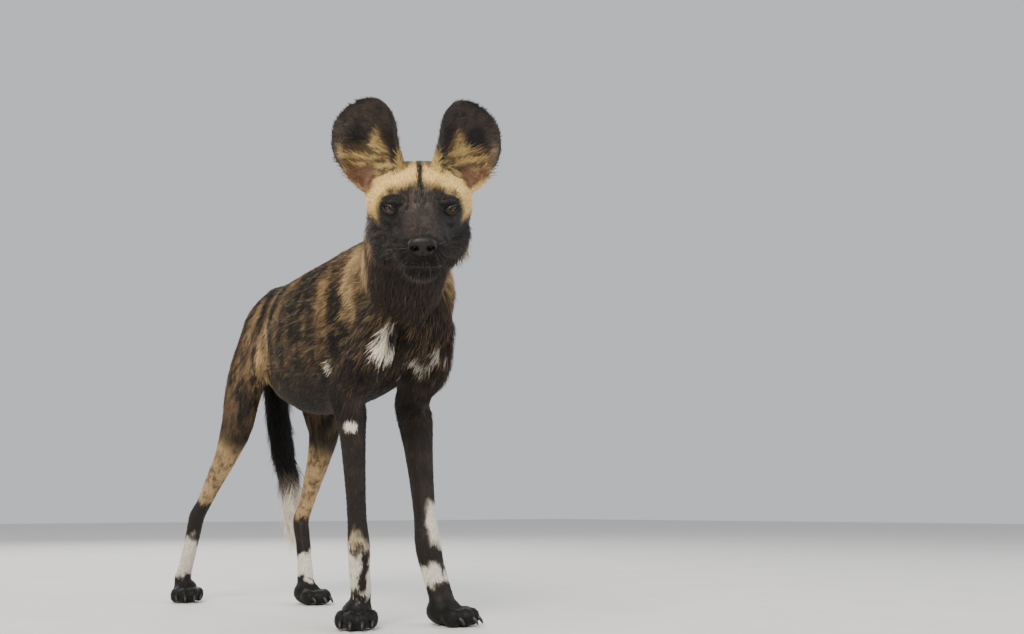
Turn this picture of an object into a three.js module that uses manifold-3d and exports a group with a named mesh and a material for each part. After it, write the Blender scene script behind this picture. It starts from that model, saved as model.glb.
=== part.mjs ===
import * as THREE from "three";
import { mergeVertices } from "three/addons/utils/BufferGeometryUtils.js";
import Module from "manifold-3d";

// African wild dog standing still, life size, in millimetres.
// The nose points towards -Y, the left side is +X, the floor is z = 0, and every outline is at the coat tips.

const wasm = await Module();
wasm.setup();

// Driving dimensions
const WITHERS_HEIGHT = 646;
const BACK_HEIGHT = 628;
const CHEST_BOTTOM = 358;
const CHEST_HALF_WIDTH = 97;
const LOIN_HALF_WIDTH = 70;
const HEAD_CENTRE = [-148, -500, 579.5];
const HEAD_YAW = -32;
const HEAD_PITCH = 38.5;
const HEAD_ROLL = -2.7;
const SKULL_HALF_WIDTH = 78;
const MUZZLE_HALF_WIDTH = 31;
const NOSE_Y = -114;
const NOSE_RADII = [18.2, 9, 12.8];
const EYE_RADIUS = 11.5;
const EYE_PLACE = [37.5, -27, 11.5];
const EAR_LENGTH = 121;
const EAR_OUTER_WIDTH = 51;
const EAR_INNER_WIDTH = 53;
const EAR_THICKNESS = 5;
const EAR_ROOT = { right: [-41, 52, 24], left: [36, 52, 24] };
const EAR_LEAN_OUT = { right: 26, left: 28 };
const EAR_TILT_BACK = 24;
const EAR_TURN_OUT = 14;
const FLOOR_MIDDLE = [-56, -84, 0];
const GAP = 0.3;
const FAR = 900;

// Joint places in the standing pose
const FORELEGS = {
  right: {
    shoulder: [-64, -298, 472], elbow: [-80, -222, 356], wrist: [-52, -215, 116],
    pastern: [-36, -200, 46], paw: [-38, -193, 0], toesTurned: -32, girth: 1,
  },
  left: {
    shoulder: [52, -286, 472], elbow: [69, -184, 356], wrist: [68, -232, 116],
    pastern: [84, -247, 46], paw: [87, -258, 0], toesTurned: 26, girth: 1.2,
  },
};
const HINDLEGS = {
  right: {
    hip: [-50, 162, 528], knee: [-80, 184, 340], hock: [-91, 338, 166],
    pastern: [-86, 404, 44], paw: [-84, 390, 0], toesTurned: -12, girth: 1.1,
  },
  left: {
    hip: [50, 162, 528], knee: [76, 128, 340], hock: [92, 248, 158],
    pastern: [80, 197, 44], paw: [79, 183, 0], toesTurned: 18, girth: 1.15,
  },
};
const SIDES = [["right", -1], ["left", 1]];

// Surface finishes, one slot each
function finish(name, color, roughness) {
  const material = new THREE.MeshStandardMaterial({ color, roughness, metalness: 0 });
  material.name = name;
  return material;
}
const COAT_DARK = finish("coat_dark", 0x2a2019, 0.9);
const COAT_TAN = finish("coat_tan", 0xa98658, 0.9);
const EAR_COAT = finish("ear_coat", 0x3a2c20, 0.9);
const EYE_GLASS = finish("eye_glass", 0x3b2412, 0.1);
const NOSE_SKIN = finish("nose_skin", 0x141313, 0.35);
const CLAW_HORN = finish("claw_horn", 0x1c1815, 0.45);

// Vector helpers on plain arrays
function add(a, b) {
  return a.map((value, axis) => value + b[axis]);
}
function mix(a, b, share) {
  return a.map((value, axis) => value * (1 - share) + b[axis] * share);
}
function radians(degrees) {
  return THREE.MathUtils.degToRad(degrees);
}

// Cubic curve through the rows of a table, at a distance along the knots
function curveThrough(knots, rows) {
  const last = knots.length - 1;
  const slopes = rows.map((row, i) => {
    const before = Math.max(i - 1, 0);
    const after = Math.min(i + 1, last);
    return row.map((_, c) => (rows[after][c] - rows[before][c]) / (knots[after] - knots[before]));
  });
  return (distance) => {
    let i = 0;
    while (i < last - 1 && distance > knots[i + 1]) i += 1;
    const span = knots[i + 1] - knots[i];
    const s = (distance - knots[i]) / span;
    const s2 = s * s;
    const s3 = s2 * s;
    const startWeight = 2 * s3 - 3 * s2 + 1;
    const startSlope = (s3 - 2 * s2 + s) * span;
    const endWeight = 3 * s2 - 2 * s3;
    const endSlope = (s3 - s2) * span;
    return rows[i].map((value, c) => startWeight * value + startSlope * slopes[i][c]
      + endWeight * rows[i + 1][c] + endSlope * slopes[i + 1][c]);
  };
}

// Closed solid from rings of points, with one point closing each end
function closedRings(rings, startPoint, endPoint) {
  const around = rings[0].length;
  const positions = [startPoint, ...rings.flat(), endPoint].flat();
  const endIndex = rings.length * around + 1;
  const index = [];
  const at = (ring, j) => 1 + ring * around + (j % around);
  for (let j = 0; j < around; j += 1) {
    index.push(0, at(0, j + 1), at(0, j));
    index.push(endIndex, at(rings.length - 1, j), at(rings.length - 1, j + 1));
    for (let i = 0; i + 1 < rings.length; i += 1) {
      index.push(at(i, j), at(i, j + 1), at(i + 1, j + 1));
      index.push(at(i, j), at(i + 1, j + 1), at(i + 1, j));
    }
  }
  const geometry = new THREE.BufferGeometry();
  geometry.setAttribute("position", new THREE.Float32BufferAttribute(positions, 3));
  geometry.setIndex(index);
  return geometry;
}

// Manifold solid from a closed geometry, turned inside out if its volume is negative
function solidOf(geometry) {
  const bare = geometry.clone();
  bare.deleteAttribute("normal");
  bare.deleteAttribute("uv");
  const merged = mergeVertices(bare, 1e-5);
  const vertProperties = new Float32Array(merged.attributes.position.array);
  const triVerts = new Uint32Array(merged.index.array);
  if (signedVolume(vertProperties, triVerts) < 0) {
    for (let t = 0; t < triVerts.length; t += 3) {
      [triVerts[t + 1], triVerts[t + 2]] = [triVerts[t + 2], triVerts[t + 1]];
    }
  }
  return new wasm.Manifold(new wasm.Mesh({ numProp: 3, vertProperties, triVerts }));
}
function signedVolume(points, triangles) {
  const [a, b, c] = [new THREE.Vector3(), new THREE.Vector3(), new THREE.Vector3()];
  let sum = 0;
  for (let t = 0; t < triangles.length; t += 3) {
    a.fromArray(points, triangles[t] * 3);
    b.fromArray(points, triangles[t + 1] * 3);
    c.fromArray(points, triangles[t + 2] * 3);
    sum += a.dot(b.cross(c));
  }
  return sum;
}

// Loft: sections along a smooth path, rounded at both ends.
// A station is { at, half, up, down, power } and a section's upper and lower halves differ.
// The section's side direction stays as near as it can to the given side.
function loft(stations, options) {
  const { along, around, side = [1, 0, 0], caps = [12, 12], grow = 0, capSteps = 3 } = options;
  const rows = stations.map((s) => [...s.at, s.half, s.up, s.down, s.power ?? 2]);
  const knots = [0];
  for (let i = 1; i < rows.length; i += 1) {
    const step = new THREE.Vector3(...stations[i].at).distanceTo(new THREE.Vector3(...stations[i - 1].at));
    knots.push(knots[i - 1] + step);
  }
  const curve = curveThrough(knots, rows);
  const length = knots.at(-1);
  const samples = [];
  for (let i = 1; i <= capSteps; i += 1) {
    const angle = (i / capSteps) * Math.PI / 2;
    samples.push([caps[0] * (1 - Math.cos(angle)), Math.sin(angle)]);
  }
  const middle = along - 2 * capSteps;
  for (let i = 1; i < middle; i += 1) {
    samples.push([caps[0] + (length - caps[0] - caps[1]) * (i / middle), 1]);
  }
  for (let i = capSteps; i >= 1; i -= 1) {
    const angle = (i / capSteps) * Math.PI / 2;
    samples.push([length - caps[1] * (1 - Math.cos(angle)), Math.sin(angle)]);
  }
  const reach = 1;
  const rings = samples.map(([distance, shrink]) => {
    const [x, y, z, half, up, down, power] = curve(distance);
    const ahead = curve(Math.min(distance + reach, length));
    const behind = curve(Math.max(distance - reach, 0));
    const tangent = new THREE.Vector3(...ahead.slice(0, 3)).sub(new THREE.Vector3(...behind.slice(0, 3)));
    tangent.normalize();
    const across = new THREE.Vector3(...side);
    across.addScaledVector(tangent, -across.dot(tangent)).normalize();
    const upward = new THREE.Vector3().crossVectors(across, tangent);
    const ring = [];
    for (let j = 0; j < around; j += 1) {
      const angle = (j / around) * 2 * Math.PI;
      const [c, s] = [Math.cos(angle), Math.sin(angle)];
      const height = (s >= 0 ? up : down) + grow;
      const term = (Math.abs(c) / (half + grow)) ** power + (Math.abs(s) / height) ** power;
      const radius = shrink * term ** (-1 / power);
      ring.push(new THREE.Vector3(x, y, z).addScaledVector(across, radius * c)
        .addScaledVector(upward, radius * s).toArray());
    }
    return ring;
  });
  return solidOf(closedRings(rings, curve(-grow).slice(0, 3), curve(length + grow).slice(0, 3)));
}

// Ellipsoid from a sphere geometry, scaled, turned and moved
function ellipsoid(centre, radii, matrix, segments = [10, 7]) {
  const geometry = new THREE.SphereGeometry(1, segments[0], segments[1]);
  geometry.scale(...radii);
  geometry.rotateX(Math.PI / 2);
  geometry.translate(...centre);
  if (matrix) geometry.applyMatrix4(matrix);
  return solidOf(geometry);
}

// Box that fills the side of a plane that the normal points to, starting half a gap from it
function halfSpace(point, normal) {
  const geometry = new THREE.BoxGeometry(FAR * 2, FAR * 2, FAR * 2);
  geometry.translate(0, 0, FAR + GAP / 2);
  const turn = new THREE.Quaternion();
  turn.setFromUnitVectors(new THREE.Vector3(0, 0, 1), new THREE.Vector3(...normal).normalize());
  geometry.applyQuaternion(turn);
  geometry.translate(...point);
  return solidOf(geometry);
}

// One solid parted in two by a thin cut: the side the normal points to comes first
function partBy(body, point, normal) {
  const opposite = normal.map((value) => -value);
  return [body.intersect(halfSpace(point, normal)), body.intersect(halfSpace(point, opposite))];
}

// Head frame: its origin is between the eyes, with -Y to the nose and +Z to the crown
const headMatrix = new THREE.Matrix4().makeTranslation(...HEAD_CENTRE)
  .multiply(new THREE.Matrix4().makeRotationZ(radians(HEAD_YAW)))
  .multiply(new THREE.Matrix4().makeRotationX(radians(HEAD_PITCH)))
  .multiply(new THREE.Matrix4().makeRotationY(radians(HEAD_ROLL)));
function inHead(place) {
  return new THREE.Vector3(...place).applyMatrix4(headMatrix).toArray();
}
const headSide = new THREE.Vector3(1, 0, 0).transformDirection(headMatrix).toArray();
function headDirection(direction) {
  return new THREE.Vector3(...direction).transformDirection(headMatrix).toArray();
}

// Trunk: ribcage, belly, loin and rump in one loft
function trunkStation(y, top, bottom, half, power = 2.1) {
  const share = 0.56;
  const height = top - bottom;
  return { at: [0, y, bottom + share * height], half, up: (1 - share) * height, down: share * height, power };
}
function makeTrunk(grow = 0) {
  const stations = [
    trunkStation(-334, 520, 436, 34, 2),
    trunkStation(-305, 568, 410, 58, 2),
    trunkStation(-260, 620, 392, 76, 2),
    trunkStation(-205, WITHERS_HEIGHT, 380, 82, 1.9),
    trunkStation(-140, WITHERS_HEIGHT, 366, 89, 2),
    trunkStation(-60, BACK_HEIGHT + 8, CHEST_BOTTOM - 4, CHEST_HALF_WIDTH),
    trunkStation(20, BACK_HEIGHT + 2, CHEST_BOTTOM - 8, CHEST_HALF_WIDTH + 1),
    trunkStation(90, BACK_HEIGHT, 372, 88),
    trunkStation(150, BACK_HEIGHT, 402, LOIN_HALF_WIDTH + 2),
    trunkStation(205, BACK_HEIGHT - 6, 426, LOIN_HALF_WIDTH),
    trunkStation(250, 604, 446, 62),
    trunkStation(294, 566, 476, 40, 2),
  ];
  return loft(stations, { along: 17, around: 15, caps: [26, 28], grow });
}

// Neck, with the long hair of the throat and of the cheek ruff inside its outline
function makeNeck() {
  const front = inHead([0, 60, -18]);
  const base = [0, -222, 548];
  const stations = [
    { at: front, half: 70, up: 60, down: 80 },
    { at: mix(front, base, 0.3), half: 68, up: 68, down: 92 },
    { at: mix(front, base, 0.6), half: 67, up: 76, down: 102 },
    { at: base, half: 69, up: 88, down: 122 },
    { at: [0, -165, 528], half: 70, up: 96, down: 110 },
  ];
  const side = mix(headSide, [1, 0, 0], 0.4);
  return loft(stations, { along: 10, around: 14, side, caps: [20, 26] });
}

// Skull and muzzle in one loft from the nose back, with brows, cheeks and lips added
function makeHeadBlock(grow = 0) {
  const profile = [
    [-116, -15, 18, 13, 24],
    [-106, -17, 28, 18, 37],
    [-85, -18, MUZZLE_HALF_WIDTH, 21, 45],
    [-60, -16, MUZZLE_HALF_WIDTH + 2, 25, 46],
    [-38, -10, 41, 29, 52],
    [-12, -3, 58, 38, 58],
    [18, 2, 73, 48, 68],
    [50, 2, SKULL_HALF_WIDTH, 54, 80],
    [82, -6, 72, 48, 76],
    [106, -14, 52, 34, 56],
  ];
  const stations = profile.map(([y, z, half, up, down]) => (
    { at: inHead([0, y, z]), half, up, down, power: 2.2 }));
  let head = loft(stations, { along: 17, around: 16, side: headSide, caps: [7, 22], grow });
  for (const [, sign] of SIDES) {
    head = head.add(ellipsoid([sign * 36, -2, 17], [22, 20, 17].map((r) => r + grow), headMatrix, [9, 6]));
    head = head.add(ellipsoid([sign * 47, 26, -44], [31, 38, 42].map((r) => r + grow), headMatrix, [9, 6]));
  }
  return head;
}

// Ear: a cup whose edges curl in at the root, wider on the outside than on the inside
function earSheet(sign) {
  const alongCount = 8;
  const acrossCount = 7;
  const growth = curveThrough([0, 0.12, 0.3, 0.5, 0.65, 0.8, 0.9, 0.97, 1], [
    [0.66], [0.74], [0.86], [0.99], [1], [0.89], [0.72], [0.45], [0.15],
  ]);
  const curl = curveThrough([0, 0.2, 0.5, 0.8, 1], [[2.25], [1.6], [1.1], [0.75], [0.5]]);
  const depth = curveThrough([0, 0.2, 0.5, 0.8, 1], [[34], [34], [26], [12], [3]]);
  const sheet = [];
  for (let i = 0; i <= alongCount; i += 1) {
    const v = i / alongCount;
    const rise = 1 - (1 - v) ** 1.25;
    const row = [];
    for (let j = 0; j <= acrossCount; j += 1) {
      const u = (2 * j) / acrossCount - 1;
      const width = (u * sign > 0 ? EAR_OUTER_WIDTH : EAR_INNER_WIDTH) * growth(rise)[0];
      const bend = curl(rise)[0];
      const widest = bend > Math.PI / 2 ? 1 : Math.sin(bend);
      const x = (width * Math.sin(u * bend)) / widest;
      const y = (-depth(rise)[0] * (1 - Math.cos(u * bend))) / (1 - Math.cos(bend));
      row.push(new THREE.Vector3(x, y, EAR_LENGTH * rise));
    }
    sheet.push(row);
  }
  return sheet;
}
function sheetNormals(sheet) {
  return sheet.map((row, i) => row.map((point, j) => {
    const alongStep = sheet[Math.min(i + 1, sheet.length - 1)][j].clone()
      .sub(sheet[Math.max(i - 1, 0)][j]);
    const acrossStep = row[Math.min(j + 1, row.length - 1)].clone().sub(row[Math.max(j - 1, 0)]);
    return acrossStep.cross(alongStep).normalize();
  }));
}
function earRings(sign) {
  const sheet = earSheet(sign);
  const normals = sheetNormals(sheet);
  const shift = (side) => sheet.map((row, i) => row.map((point, j) => (
    point.clone().addScaledVector(normals[i][j], side * EAR_THICKNESS / 2))));
  const inner = shift(1);
  const outer = shift(-1);
  const rings = sheet.map((row, i) => [...inner[i], ...outer[i].slice().reverse()]);
  return rings;
}
function earSolid(side, sign) {
  const rings = earRings(sign);
  const columns = rings[0].length;
  const half = columns / 2;
  const positions = rings.flat().map((p) => p.toArray()).flat();
  const index = [];
  const at = (i, j) => i * columns + (j % columns);
  for (let i = 0; i + 1 < rings.length; i += 1) {
    for (let j = 0; j < columns; j += 1) {
      index.push(at(i, j), at(i, j + 1), at(i + 1, j + 1));
      index.push(at(i, j), at(i + 1, j + 1), at(i + 1, j));
    }
  }
  for (const [i, turned] of [[0, true], [rings.length - 1, false]]) {
    for (let j = 0; j + 1 < half; j += 1) {
      const quad = [at(i, j), at(i, j + 1), at(i, columns - 2 - j), at(i, columns - 1 - j)];
      if (turned) quad.reverse();
      index.push(quad[0], quad[1], quad[2]);
      index.push(quad[0], quad[2], quad[3]);
    }
  }
  const geometry = new THREE.BufferGeometry();
  geometry.setAttribute("position", new THREE.Float32BufferAttribute(positions, 3));
  geometry.setIndex(index);
  geometry.rotateZ(radians(sign * EAR_TURN_OUT));
  geometry.rotateX(radians(-EAR_TILT_BACK));
  geometry.rotateY(radians(sign * EAR_LEAN_OUT[side]));
  geometry.translate(...EAR_ROOT[side]);
  geometry.applyMatrix4(headMatrix);
  return solidOf(geometry);
}

// Legs: lofts down from the shoulder or hip, with "up" as the rear and "down" as the front
// Below the joint that leaves the body, each leg has its own girth
function withGirth(stations, girth, first) {
  return stations.map((s, i) => (i < first ? s : {
    ...s, half: s.half * girth, up: s.up * girth, down: s.down * girth,
  }));
}
function forelegStations({ shoulder, elbow, wrist, pastern, paw, girth }) {
  return withGirth([
    { at: add(shoulder, [0, 20, 34]), half: 27, up: 50, down: 44 },
    { at: add(mix(shoulder, elbow, 0.45), [0, 6, 0]), half: 31, up: 56, down: 44 },
    { at: add(elbow, [0, 4, 16]), half: 27, up: 46, down: 33 },
    { at: mix(elbow, wrist, 0.14), half: 23, up: 30, down: 24 },
    { at: mix(elbow, wrist, 0.45), half: 18.5, up: 21, down: 19 },
    { at: mix(elbow, wrist, 0.78), half: 16, up: 17, down: 16 },
    { at: add(wrist, [0, 0, 8]), half: 19, up: 18, down: 17 },
    { at: mix(wrist, pastern, 0.4), half: 18, up: 16, down: 15 },
    { at: pastern, half: 18.5, up: 16, down: 15 },
    { at: add(paw, [0, 2, 20]), half: 22, up: 18, down: 16 },
  ], girth, 3);
}
function hindlegStations({ hip, knee, hock, pastern, paw, girth }, sign) {
  return withGirth([
    { at: add(hip, [0, 6, 26]), half: 27, up: 78, down: 58 },
    { at: add(mix(hip, knee, 0.28), [sign * 3, 10, 0]), half: 31, up: 82, down: 60 },
    { at: add(mix(hip, knee, 0.62), [sign * 2, 16, 0]), half: 30, up: 66, down: 48 },
    { at: add(knee, [0, 14, 0]), half: 25, up: 42, down: 30 },
    { at: mix(knee, hock, 0.28), half: 20, up: 32, down: 24 },
    { at: mix(knee, hock, 0.58), half: 16, up: 22, down: 18 },
    { at: mix(knee, hock, 0.85), half: 12.5, up: 18, down: 15 },
    { at: add(hock, [0, 2, 0]), half: 14, up: 17, down: 15 },
    { at: mix(hock, pastern, 0.4), half: 13.5, up: 14, down: 13 },
    { at: mix(hock, pastern, 0.8), half: 14, up: 13, down: 13 },
    { at: pastern, half: 16, up: 15, down: 14 },
    { at: add(paw, [0, 2, 20]), half: 20, up: 18, down: 16 },
  ], girth, 3);
}
function legLoft(stations, grow = 0) {
  return loft(stations, { along: 16, around: 11, caps: [10, 6], grow });
}

// Space that a leg takes out of the trunk: the leg's own inner side, open to the outside
function legPocket(stations, sign, grow) {
  const outward = 80;
  const topStations = stations.slice(0, 5).map((s) => ({
    ...s, at: add(s.at, [sign * outward, 0, 0]), half: s.half + outward, power: 5,
  }));
  return loft(topStations, { along: 9, around: 10, caps: [6, 6], grow });
}

// Paw: a heel pad and four toes, flat where they stand
const TOES = [[-24, -22, 11], [-9, -38, 12], [9, -38, 12], [24, -22, 11]];
const TOE_HEIGHT = 15;
function pawMatrix({ paw, toesTurned }) {
  return new THREE.Matrix4().makeTranslation(...paw)
    .multiply(new THREE.Matrix4().makeRotationZ(radians(toesTurned)));
}
function makePaw(place, scale, grow) {
  const matrix = pawMatrix(place);
  const pad = [27 * scale + grow, 32 * scale + grow, 24 + grow];
  let paw = ellipsoid([0, 4, 22], pad, matrix, [9, 5]);
  for (const [x, y, radius] of TOES) {
    const toe = [radius * scale + grow, 19 * scale + grow, 16 + grow];
    paw = paw.add(ellipsoid([x * scale, y * scale, TOE_HEIGHT], toe, matrix, [7, 4]));
  }
  return paw;
}
function makeClaw(place, scale, [x, y]) {
  const matrix = pawMatrix(place);
  const point = (dx, dy, z) => new THREE.Vector3(x * scale + dx, y * scale + dy, z)
    .applyMatrix4(matrix).toArray();
  const stations = [
    { at: point(0, -13 * scale, 17), half: 3.4, up: 3.8, down: 3.8 },
    { at: point(0, -18 * scale, 14), half: 3, up: 3.4, down: 3.4 },
    { at: point(0, -18 * scale - 6, 9), half: 2, up: 2.3, down: 2.3 },
    { at: point(0, -18 * scale - 9, 5), half: 1.1, up: 1.2, down: 1.2 },
  ];
  return loft(stations, { along: 4, around: 4, caps: [2, 1], capSteps: 1 });
}

// Tail hanging behind the left thigh, a brush with a thin tip
function makeTail() {
  const stations = [
    { at: [0, 256, 580], half: 22, up: 22, down: 22 },
    { at: [10, 290, 552], half: 22, up: 23, down: 23 },
    { at: [28, 302, 490], half: 24, up: 26, down: 26 },
    { at: [45, 297, 400], half: 26, up: 28, down: 28 },
    { at: [57, 289, 320], half: 26, up: 28, down: 28 },
    { at: [75, 283, 240], half: 22, up: 24, down: 24 },
    { at: [92, 287, 170], half: 15, up: 16, down: 16 },
    { at: [101, 284, 116], half: 5, up: 5, down: 5 },
  ];
  return loft(stations, { along: 15, around: 10, caps: [12, 16] });
}

// Assembly
const parts = [];
function keep(name, body, material) {
  parts.push({ name, body, material });
}

const floorTop = halfSpace([0, 0, -GAP / 2], [0, 0, 1]);
let core = makeTrunk().add(makeNeck()).add(makeHeadBlock());

// Legs and paws, parted at the elbow, the knee, the wrist and the hock
for (const [side, sign] of SIDES) {
  for (const [kind, places, stationsOf, upperName, middleName, jointUpper, jointLower, pawScale] of [
    ["forepaw", FORELEGS[side], forelegStations, "shoulder", "forearm", "elbow", "wrist", 1],
    ["hindpaw", HINDLEGS[side], hindlegStations, "thigh", "shank", "knee", "hock", 0.94],
  ]) {
    const stations = stationsOf(places, sign);
    const paw = makePaw(places, pawScale, 0);
    const upperFlesh = core.intersect(legPocket(stations, sign, 0));
    core = core.subtract(legPocket(stations, sign, GAP));
    const leg = legLoft(stations).add(paw).add(upperFlesh).intersect(floorTop);
    core = core.subtract(legLoft(stations, GAP));
    const kneeCut = partBy(leg, add(places[jointUpper], [0, 0, -6]), [0, 0, 1]);
    const footCut = partBy(kneeCut[1], add(places[jointLower], [0, 0, -22]), [0, 0, 1]);
    keep(`${upperName}_${side}`, kneeCut[0], COAT_DARK);
    keep(`${middleName}_${side}`, footCut[0], COAT_TAN);
    keep(`${kind}_${side}`, footCut[1], COAT_DARK);
    const pawSpace = makePaw(places, pawScale, GAP);
    TOES.forEach((toe, i) => {
      keep(`${kind}_claw_${side}_${i + 1}`, makeClaw(places, pawScale, toe).subtract(pawSpace), CLAW_HORN);
    });
  }
}

// Head: eyes, nose and ears are set into it, and the lower jaw is parted along the mouth
const [headWhole, behindHead] = partBy(core, inHead([0, 62, -10]), headDirection([0, -0.861, 0.509]));
const [neck, trunk] = partBy(behindHead, [0, -270, 560], [0, -0.776, 0.63]);
const [rear, chest] = partBy(trunk, [0, 70, 500], [0, 1, 0]);
const mouthCorner = [0, -34, -37];
const mouthSide = halfSpace(inHead(mouthCorner), headDirection([0, -0.1, -1]));
const mouthFront = halfSpace(inHead(mouthCorner), headDirection([0, -1, -0.25]));
const mouthSideWide = halfSpace(inHead(add(mouthCorner, [0, 0, GAP])), headDirection([0, -0.1, -1]));
const mouthFrontWide = halfSpace(inHead(add(mouthCorner, [0, GAP, 0])), headDirection([0, -1, -0.25]));
const jaw = headWhole.intersect(mouthSide).intersect(mouthFront);
let head = headWhole.subtract(mouthSideWide.intersect(mouthFrontWide));
const nosePlace = [0, NOSE_Y, -8];
head = head.subtract(ellipsoid(nosePlace, NOSE_RADII.map((r) => r + GAP), headMatrix, [9, 6]));
keep("nose", ellipsoid(nosePlace, NOSE_RADII, headMatrix, [9, 6]), NOSE_SKIN);
for (const [side, sign] of SIDES) {
  const place = [sign * EYE_PLACE[0], EYE_PLACE[1], EYE_PLACE[2]];
  const ball = [EYE_RADIUS, EYE_RADIUS, EYE_RADIUS];
  head = head.subtract(ellipsoid(place, ball.map((r) => r + GAP), headMatrix, [9, 6]));
  keep(`eye_${side}`, ellipsoid(place, ball, headMatrix, [9, 6]), EYE_GLASS);
}
const headSpace = makeHeadBlock(GAP);
for (const [side, sign] of SIDES) {
  keep(`ear_${side}`, earSolid(side, sign).subtract(headSpace), EAR_COAT);
}
const trunkSpace = makeTrunk(GAP);
keep("head", head, COAT_TAN);
keep("lower_jaw", jaw, COAT_DARK);
keep("neck", neck, COAT_DARK);
keep("chest", chest, COAT_DARK);
keep("rump", rear, COAT_TAN);
keep("tail", makeTail().subtract(trunkSpace), COAT_DARK);

// Meshes, with the origin on the floor under the middle of the whole dog
const model = new THREE.Group();
model.position.set(...FLOOR_MIDDLE).negate();
for (const { name, body, material } of parts) {
  const { vertProperties, triVerts } = body.getMesh();
  const geometry = new THREE.BufferGeometry();
  geometry.setAttribute("position", new THREE.BufferAttribute(vertProperties, 3));
  geometry.setIndex(new THREE.BufferAttribute(triVerts, 1));
  const mesh = new THREE.Mesh(geometry, material);
  mesh.name = name;
  model.add(mesh);
}
export default model;
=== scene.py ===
"""A standing African wild dog at life size: skin, coat of tufts, eyes, lids, nose, lips, whiskers, claws.

Shapes are worked out in millimetres in the dog's own frame (nose towards -Y, left side +X, floor z = 0)
and are placed in the shared frame in metres when a mesh is made.
"""

from __future__ import annotations

import logging
import math
from dataclasses import dataclass, field, replace
from enum import Enum
from typing import Sequence

import bpy
import numpy as np
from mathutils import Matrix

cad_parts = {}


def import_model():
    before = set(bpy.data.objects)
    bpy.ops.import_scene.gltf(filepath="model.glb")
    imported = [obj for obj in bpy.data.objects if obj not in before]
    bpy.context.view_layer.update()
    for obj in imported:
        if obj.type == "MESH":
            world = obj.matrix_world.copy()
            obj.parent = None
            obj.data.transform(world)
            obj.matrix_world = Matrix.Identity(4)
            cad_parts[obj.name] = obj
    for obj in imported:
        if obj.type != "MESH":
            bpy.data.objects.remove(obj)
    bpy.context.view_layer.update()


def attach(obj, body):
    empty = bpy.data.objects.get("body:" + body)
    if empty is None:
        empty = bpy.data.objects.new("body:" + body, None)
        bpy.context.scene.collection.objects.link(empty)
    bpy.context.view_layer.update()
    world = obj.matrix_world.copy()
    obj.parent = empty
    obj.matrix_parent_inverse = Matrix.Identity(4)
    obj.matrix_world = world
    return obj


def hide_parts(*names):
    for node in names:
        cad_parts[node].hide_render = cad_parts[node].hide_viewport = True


LOG = logging.getLogger("wild_dog")
Array = np.ndarray
Triple = tuple[float, float, float]

# Shared sizes, in millimetres
FLOOR_MIDDLE = np.array([-56.0, -84.0, 0.0])
MILLIMETRE = 0.001
HEAD_CENTRE = np.array([-148.0, -500.0, 579.5])
HEAD_YAW = -32.0
HEAD_PITCH = 38.5
HEAD_ROLL = -2.7
EYE_RADIUS = 11.5
LID_HALF_WIDTH = 9.4
LID_HALF_HEIGHT = 4.4
LID_TILT = 0.2
EYE_PLACE = (37.5, -27.0, 11.5)
NOSE_PLACE = (0.0, -114.0, -8.0)
NOSE_RADII = (18.2, 9.0, 12.8)
MOUTH_HEIGHT = -33.0
MOUTH_FRONT = -112.0
MOUTH_SLOPE = -0.17
MOUTH_CORNER = -36.0
MUZZLE_MIDDLE = -60.0
EAR_LENGTH = 121.0
EAR_OUTER_WIDTH = 51.0
EAR_INNER_WIDTH = 53.0
EAR_TILT_BACK = 24.0
EAR_TURN_OUT = 14.0

# What the laid hair adds to the skin, as a share of the coat's depth, and the share of the coat's colour
# kept on the skin: painted shade cast by the hair over it
COAT_SHARE = 0.6
SKIN_SHADE = 0.62

# Random numbers and noise
COAT_SEED = 11
WHISKER_SEED = 101
HASH_PRIMES = np.array([374761393, 668265263, 2147483647])
HASH_MIXER = 1274126177

# Where the photograph was taken from, in millimetres, and its lens
CAMERA_PLACE = np.array([-805.0, -1453.0, 180.0])
CAMERA_YAW = 40.8
CAMERA_PITCH = 12.26
CAMERA_LENS = 31.2
SENSOR_WIDTH = 36.0


class Side(Enum):
    """A side of the dog, with the sign of its X."""

    RIGHT = -1
    LEFT = 1

    @property
    def word(self) -> str:
        """The side's name in node names."""
        return self.name.lower()


EAR_ROOT = {Side.RIGHT: (-41.0, 52.0, 24.0), Side.LEFT: (36.0, 52.0, 24.0)}
EAR_LEAN_OUT = {Side.RIGHT: 26.0, Side.LEFT: 28.0}


# Colour and small maths

def linear(hex_colour: str) -> Triple:
    """Turn an sRGB hex colour into linear light.

    Args:
        hex_colour: "#rrggbb".

    Returns:
        Three numbers: c / 12.92 below 0.04045, else ((c + 0.055) / 1.055) to the power 2.4.
    """
    digits = hex_colour.lstrip("#")
    levels = [int(digits[i:i + 2], 16) / 255 for i in (0, 2, 4)]
    return tuple(c / 12.92 if c <= 0.04045 else ((c + 0.055) / 1.055) ** 2.4 for c in levels)


def reach_of(vectors: Array) -> Array:
    """Each vector's length."""
    return np.linalg.norm(vectors, axis=-1)


def unit(vectors: Array) -> Array:
    """Each vector divided by its length."""
    return vectors / np.maximum(reach_of(vectors)[..., None], 1e-9)


def angles(count: int) -> Array:
    """So many even steps round a circle, in radians."""
    return np.linspace(0, 2 * math.pi, count, endpoint=False)


def painted(colour: Array, mask: Array, hex_colour: str) -> Array:
    """The colours with the mask's share, kept from 0 to 1, of another colour laid over them."""
    share = np.clip(mask, 0, 1)[:, None]
    return colour * (1 - share) + np.array(linear(hex_colour)) * share


def ease(low: float, high: float, value: Array) -> Array:
    """0 below low, 1 above high, and 3t^2 - 2t^3 between."""
    t = np.clip((value - low) / (high - low), 0.0, 1.0)
    return t * t * (3.0 - 2.0 * t)


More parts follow.
